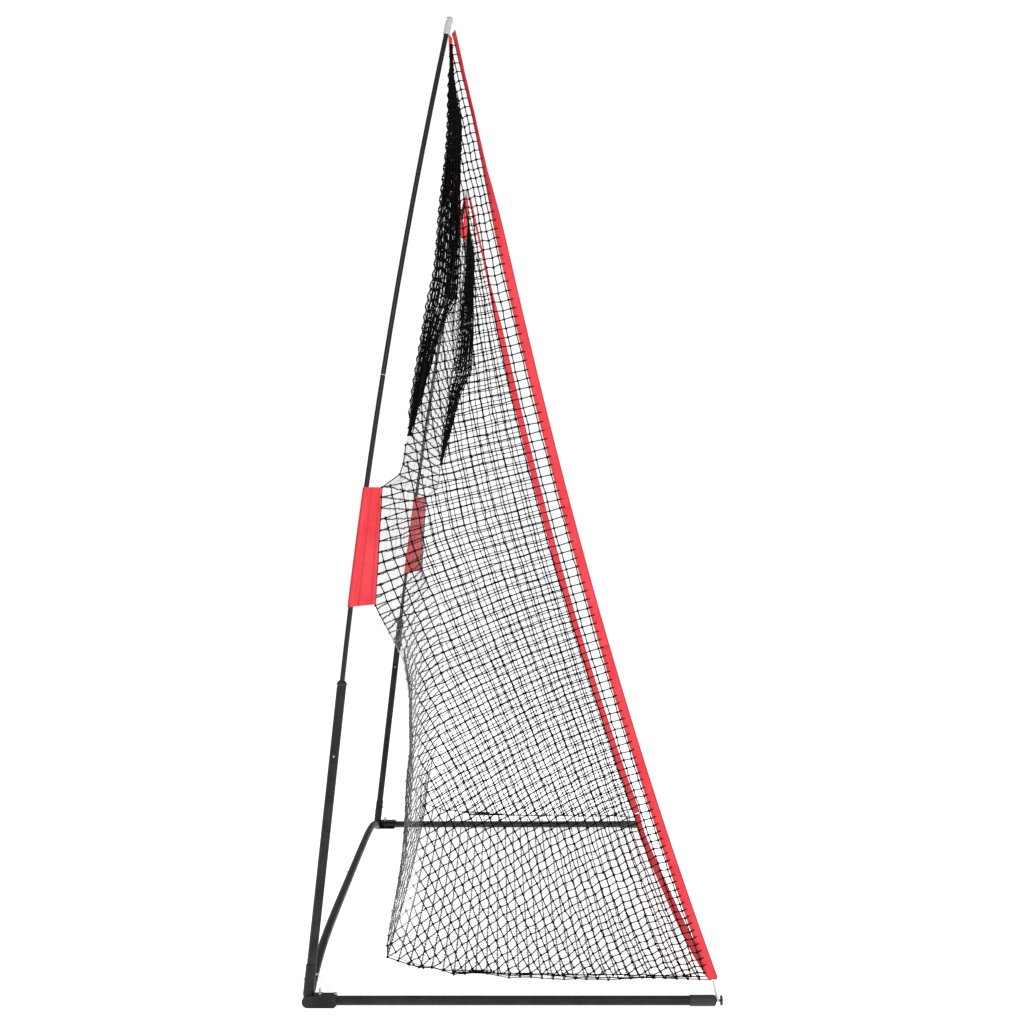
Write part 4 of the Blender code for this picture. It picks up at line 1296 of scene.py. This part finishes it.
class TARGETNET_OT_corner_loops(bpy.types.Operator):
    """Build the grey webbing loops at the four corners of the mouth"""
    bl_idname = "target_net.corner_loops"
    bl_label = "Build Corner Loops"

    def band(self, name, low, high, axis, hole, width, thickness, material):
        """A flat band round two centres; axis runs along the band's width."""
        along = unit(high - low)
        side = np.cross(axis, along)
        rings = []
        turns = 12
        for centre, start in ((high, -math.pi / 2), (low, math.pi / 2)):
            for i in range(turns + 1):
                a = start + math.pi * i / turns
                out = math.cos(a) * along + math.sin(a) * side
                rings.append((centre, out))
        across = [(-1, -0.55), (-1, 0.55), (-0.8, 1), (0.8, 1), (1, 0.55), (1, -0.55),
                  (0.8, -1), (-0.8, -1)]
        skin = []
        middle = hole + thickness / 2
        for centre, out in rings + rings[:1]:
            skin.append([centre + out * (middle + h * thickness / 2) + axis * (w * width / 2)
                         for w, h in across])
        points, faces, uvs = loft(skin, closed_ends=False)
        size = len(across)
        seam = (len(skin) - 1) * size
        faces = [[k - seam if k >= seam else k for k in face] for face in faces]
        obj = plain_mesh(name, points[:seam], faces, (), uvs)
        obj.data.materials.append(material)
        obj.data.shade_smooth()
        return faces_out(obj)

    def execute(self, context):
        look = context.scene.target_net_tape
        webbing = woven_cloth("Grey webbing", tuple(look.webbing), across=0.0007,
                              along=0.0011)
        for word, side in SIDES.items():
            low, high = (np.array(c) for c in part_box(f"bottom_loop_{word}"))
            centre = (low + high) / 2
            hole = 0.0030
            foot = np.array((centre[0], centre[1] + 0.0005, 0.0129))
            head = np.array((side * 1.0035, FRONT_CORNER[0] - 0.001, 0.0465))
            axis = np.array((0.0, 1.0, 0.0))
            axis = unit(axis - axis.dot(unit(head - foot)) * unit(head - foot))
            obj = self.band(f"bottom_strap_{word}", foot, head, axis, hole, 0.0042, 0.0016,
                            webbing)
            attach(obj, f"arm_{word}")
            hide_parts(f"bottom_loop_{word}")
            self.build_top(word, side, webbing)
        return {"FINISHED"}

    def build_top(self, word, side, webbing):
        base = pole_point(side, HEIGHT - 0.0415)
        along = unit(pole_point(side, HEIGHT) - base)
        neck = base + along * 0.0362
        front = np.array((0.0, -1.0, 0.0))
        front = unit(front - front.dot(along) * along)
        corner = np.array((side * 0.954, 0.1285, 2.1525))
        points = []
        out = 0.0034
        across = unit(np.cross(along, front))
        for i in range(11):
            a = math.pi / 2 + math.pi * i / 10
            points.append(neck + across * (out * math.sin(a)) + front * (out * math.cos(a)))
        leg = neck + front * 0.0098
        down = leg - along * 0.006 + front * 0.001
        sides_apart = across * 0.0030
        right = [points[0] + front * 0.005, leg + sides_apart, down + sides_apart]
        left = [points[-1] + front * 0.005, leg - sides_apart, down - sides_apart]
        end = corner + np.array((0.0, 0.002, 0.0))
        route = ([end + sides_apart * 0.6] + [right[2], right[1], right[0]] + points
                 + [left[0], left[1], left[2]] + [end - sides_apart * 0.6])
        route = np.array(route)
        for _ in range(2):
            finer = np.empty((len(route) * 2 - 1, 3))
            finer[::2] = route
            finer[1::2] = (route[:-1] + route[1:]) / 2
            finer[2:-2] = (finer[1:-3] + 2 * finer[2:-2] + finer[3:-1]) / 4
            route = finer
        route = np.vstack([route, route[:1]])
        way = tangents(route)
        rings = []
        for point, go in zip(route, way):
            u = unit(along - along.dot(go) * go)
            if abs(along.dot(go)) > 0.8:
                u = unit(front - front.dot(go) * go)
            v = np.cross(go, u)
            rings.append([point + 0.0013 * math.cos(a) * u + 0.0009 * math.sin(a) * v
                          for a in np.linspace(0, 2 * math.pi, 9)[:-1]])
        mesh_points, faces, uvs = loft(rings)
        obj = plain_mesh(f"top_strap_{word}", mesh_points, faces, (), uvs)
        obj.data.materials.append(webbing)
        obj.data.shade_smooth()
        faces_out(obj)
        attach(obj, f"pole_{word}")
        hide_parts(f"top_loop_{word}")


# where the twine of each panel is sheer and painted pale, as painted backlight: (axis, where it
# is black, where it is sheer)
PAINTED_BACKLIGHT_FADES = {"side": (("Y", 0.196, 0.226), ("Z", 0.86, 0.72), ("Z", 0.12, 0.24)),
         "floor": (("X", -0.962, -0.925),), "back": ()}


def painted_backlight_twine(name, look):
    # painted backlight: black twine that turns pale and sheer on its marked faces
    return twine_with_painted_backlight(name, tuple(look.black), tuple(look.pale), look.sheer)


def declare_net(obj, word, part, nodes):
    bend = bend_to_pole if part == "upper" else bend_to_arm
    bend(obj, word)
    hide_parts(*nodes)


class TARGETNET_OT_side_netting(bpy.types.Operator):
    """Build the two side panels of the bag and their gathered top corners"""
    bl_idname = "target_net.side_netting"
    bl_label = "Build Side Netting"

    def execute(self, context):
        look = context.scene.target_net_net
        twine = painted_backlight_twine("Black twine, painted backlight at the rear", look)
        plain = twisted_thread("Black twine", tuple(look.black)).material
        panel = SidePanel()
        for word, side in SIDES.items():
            chains = panel.chains(side, 11 + side)
            lower, upper = cut(chains, lambda p: p[:, 2] - NET_SPLIT_Z)
            for part, held in (("upper", upper), ("lower", lower)):
                obj = netting(f"side_netting_{part}_{word}", held, twine, look.twine, 5,
                              look.knot)
                mark_painted_backlight(obj, PAINTED_BACKLIGHT_FADES["side"])
                declare_net(obj, word, part, [f"net_side_{word}"])
            gathered = netting(f"gathered_netting_{word}", gathered_corner(side, 31 + side),
                               plain, look.twine, 5, look.knot)
            declare_net(gathered, word, "upper", [f"net_back_upper_{word}"])
        return {"FINISHED"}


class TARGETNET_OT_back_netting(bpy.types.Operator):
    """Build the back panel of the bag"""
    bl_idname = "target_net.back_netting"
    bl_label = "Build Back Netting"

    def execute(self, context):
        look = context.scene.target_net_net
        twine = painted_backlight_twine("Black twine, painted backlight from the side", look)
        left, right = cut(back_chains(), lambda p: p[:, 0])
        for word, half in (("left", left), ("right", right)):
            lower, upper = cut(half, lambda p: p[:, 2] - NET_SPLIT_Z)
            for part, held in (("upper", upper), ("lower", lower)):
                nodes = [f"net_back_upper_{word}"] if part == "upper" else ["net_back_lower"]
                obj = netting(f"back_netting_{part}_{word}", held, twine, look.twine, 4,
                              look.knot * 0.8)
                mark_painted_backlight(obj, PAINTED_BACKLIGHT_FADES["back"])
                declare_net(obj, word, part, nodes)
        return {"FINISHED"}


class TARGETNET_OT_floor_netting(bpy.types.Operator):
    """Build the floor of the bag"""
    bl_idname = "target_net.floor_netting"
    bl_label = "Build Floor Netting"

    def execute(self, context):
        look = context.scene.target_net_net
        twine = painted_backlight_twine("Black twine, painted backlight inboard", look)
        left, right = cut(floor_chains(), lambda p: p[:, 0])
        for word, half in (("left", left), ("right", right)):
            obj = netting(f"floor_netting_{word}", half, twine, look.twine, 4, look.knot)
            mark_painted_backlight(obj, PAINTED_BACKLIGHT_FADES["floor"])
            declare_net(obj, word, "lower", ["net_floor"])
        return {"FINISHED"}


class TARGETNET_OT_stage(bpy.types.Operator):
    """Set the pale floor, the soft studio lights and the camera"""
    bl_idname = "target_net.stage"
    bl_label = "Set the Stage"

    camera_at = (-4.611, 0.0277, 1.0756)
    lens = 57.76
    shift = (0.0120, 0.0021)

    def execute(self, context):
        scene = context.scene
        self.add_floor(scene)
        self.add_light(scene, "Side softbox", (-5.5, -0.8, 2.6), (0, 0, 1.0), 4.0, 92)
        self.add_light(scene, "Top softbox", (0.0, 0.0, 5.2), (0, 0, 0), 5.0, 118)
        self.add_light(scene, "Front softbox", (-1.5, -5.0, 2.4), (0, 0, 1.0), 3.5, 38)
        camera = bpy.data.objects.new("Camera", bpy.data.cameras.new("Camera"))
        camera.location = self.camera_at
        camera.rotation_euler = (math.pi / 2, 0, -math.pi / 2)
        camera.data.lens = self.lens
        camera.data.sensor_width = 36
        camera.data.shift_x, camera.data.shift_y = self.shift
        camera.data.clip_end = 200
        scene.collection.objects.link(camera)
        scene.camera = camera
        scene.view_settings.view_transform = "Standard"
        self.add_world(scene)
        return {"FINISHED"}

    def add_floor(self, scene):
        reach = 40.0
        corners = [(-reach, -reach, 0), (reach, -reach, 0), (reach, reach, 0),
                   (-reach, reach, 0)]
        floor = plain_mesh("studio_floor", corners, [(0, 1, 2, 3)])
        paint = Finish("Pale studio floor", 0.9)
        grain = paint.group("Surface Grain", Fine_Scale=40.0, Coarse_Scale=0.6)
        paint.tint(grain.outputs["Mask"], (0.93, 0.93, 0.93), (0.95, 0.95, 0.95))
        paint.shader.inputs["Emission Color"].default_value = (1.0, 1.0, 1.0, 1.0)
        paint.shader.inputs["Emission Strength"].default_value = 0.85
        floor.data.materials.append(paint.material)

    def add_light(self, scene, name, place, target, size, power):
        light = bpy.data.lights.new(name, "AREA")
        light.shape = "DISK"
        light.size = size
        light.energy = power
        obj = bpy.data.objects.new(name, light)
        place = np.array(place, float)
        from_target = place - np.array(target, float)
        obj.location = place
        yaw = math.atan2(from_target[1], from_target[0])
        flat = math.hypot(from_target[0], from_target[1])
        obj.rotation_euler = (math.atan2(flat, from_target[2]), 0, yaw + math.pi / 2)
        scene.collection.objects.link(obj)

    def add_world(self, scene):
        world = bpy.data.worlds.new("Studio")
        world.use_nodes = True
        tree = world.node_tree
        tree.nodes.clear()
        seen = add(tree, "ShaderNodeBackground", {"Color": (1, 1, 1, 1), "Strength": 1.05})
        fill = add(tree, "ShaderNodeBackground", {"Color": (1, 1, 1, 1), "Strength": 0.25})
        ray = add(tree, "ShaderNodeLightPath")
        mix = add(tree, "ShaderNodeMixShader")
        out = add(tree, "ShaderNodeOutputWorld")
        wire(tree, (ray.outputs["Is Camera Ray"], mix.inputs["Fac"]),
             (fill.outputs["Background"], mix.inputs[1]),
             (seen.outputs["Background"], mix.inputs[2]),
             (mix.outputs["Shader"], out.inputs["Surface"]))
        scene.world = world


SETTINGS = {"target_net_net": NetSettings, "target_net_tape": TapeSettings,
            "target_net_frame": FrameSettings}
OPERATORS = (TARGETNET_OT_stage, TARGETNET_OT_frame_finishes, TARGETNET_OT_side_tapes,
             TARGETNET_OT_cross_tapes, TARGETNET_OT_sleeves, TARGETNET_OT_corner_loops,
             TARGETNET_OT_side_netting, TARGETNET_OT_back_netting,
             TARGETNET_OT_floor_netting)


class TARGETNET_PT_panel(bpy.types.Panel):
    """Lists the net's settings and build steps"""
    bl_idname = "TARGETNET_PT_panel"
    bl_label = "Target Net"
    bl_space_type = "VIEW_3D"
    bl_region_type = "UI"
    bl_category = "Target Net"

    def draw(self, context):
        layout = self.layout
        for name, kind in SETTINGS.items():
            box = layout.box()
            group = getattr(context.scene, name)
            for field in kind.__annotations__:
                box.prop(group, field)
        for operator in OPERATORS:
            layout.operator(operator.bl_idname)


def register():
    for kind in (*SETTINGS.values(), *OPERATORS, TARGETNET_PT_panel):
        bpy.utils.register_class(kind)
    for name, kind in SETTINGS.items():
        setattr(bpy.types.Scene, name, bpy.props.PointerProperty(type=kind))


def unregister():
    for name in SETTINGS:
        delattr(bpy.types.Scene, name)
    for kind in (TARGETNET_PT_panel, *reversed(OPERATORS), *SETTINGS.values()):
        bpy.utils.unregister_class(kind)


def main():
    register()
    for operator in OPERATORS:
        group, name = operator.bl_idname.split(".")
        getattr(getattr(bpy.ops, group), name)()


if __name__ == "__main__":
    main()
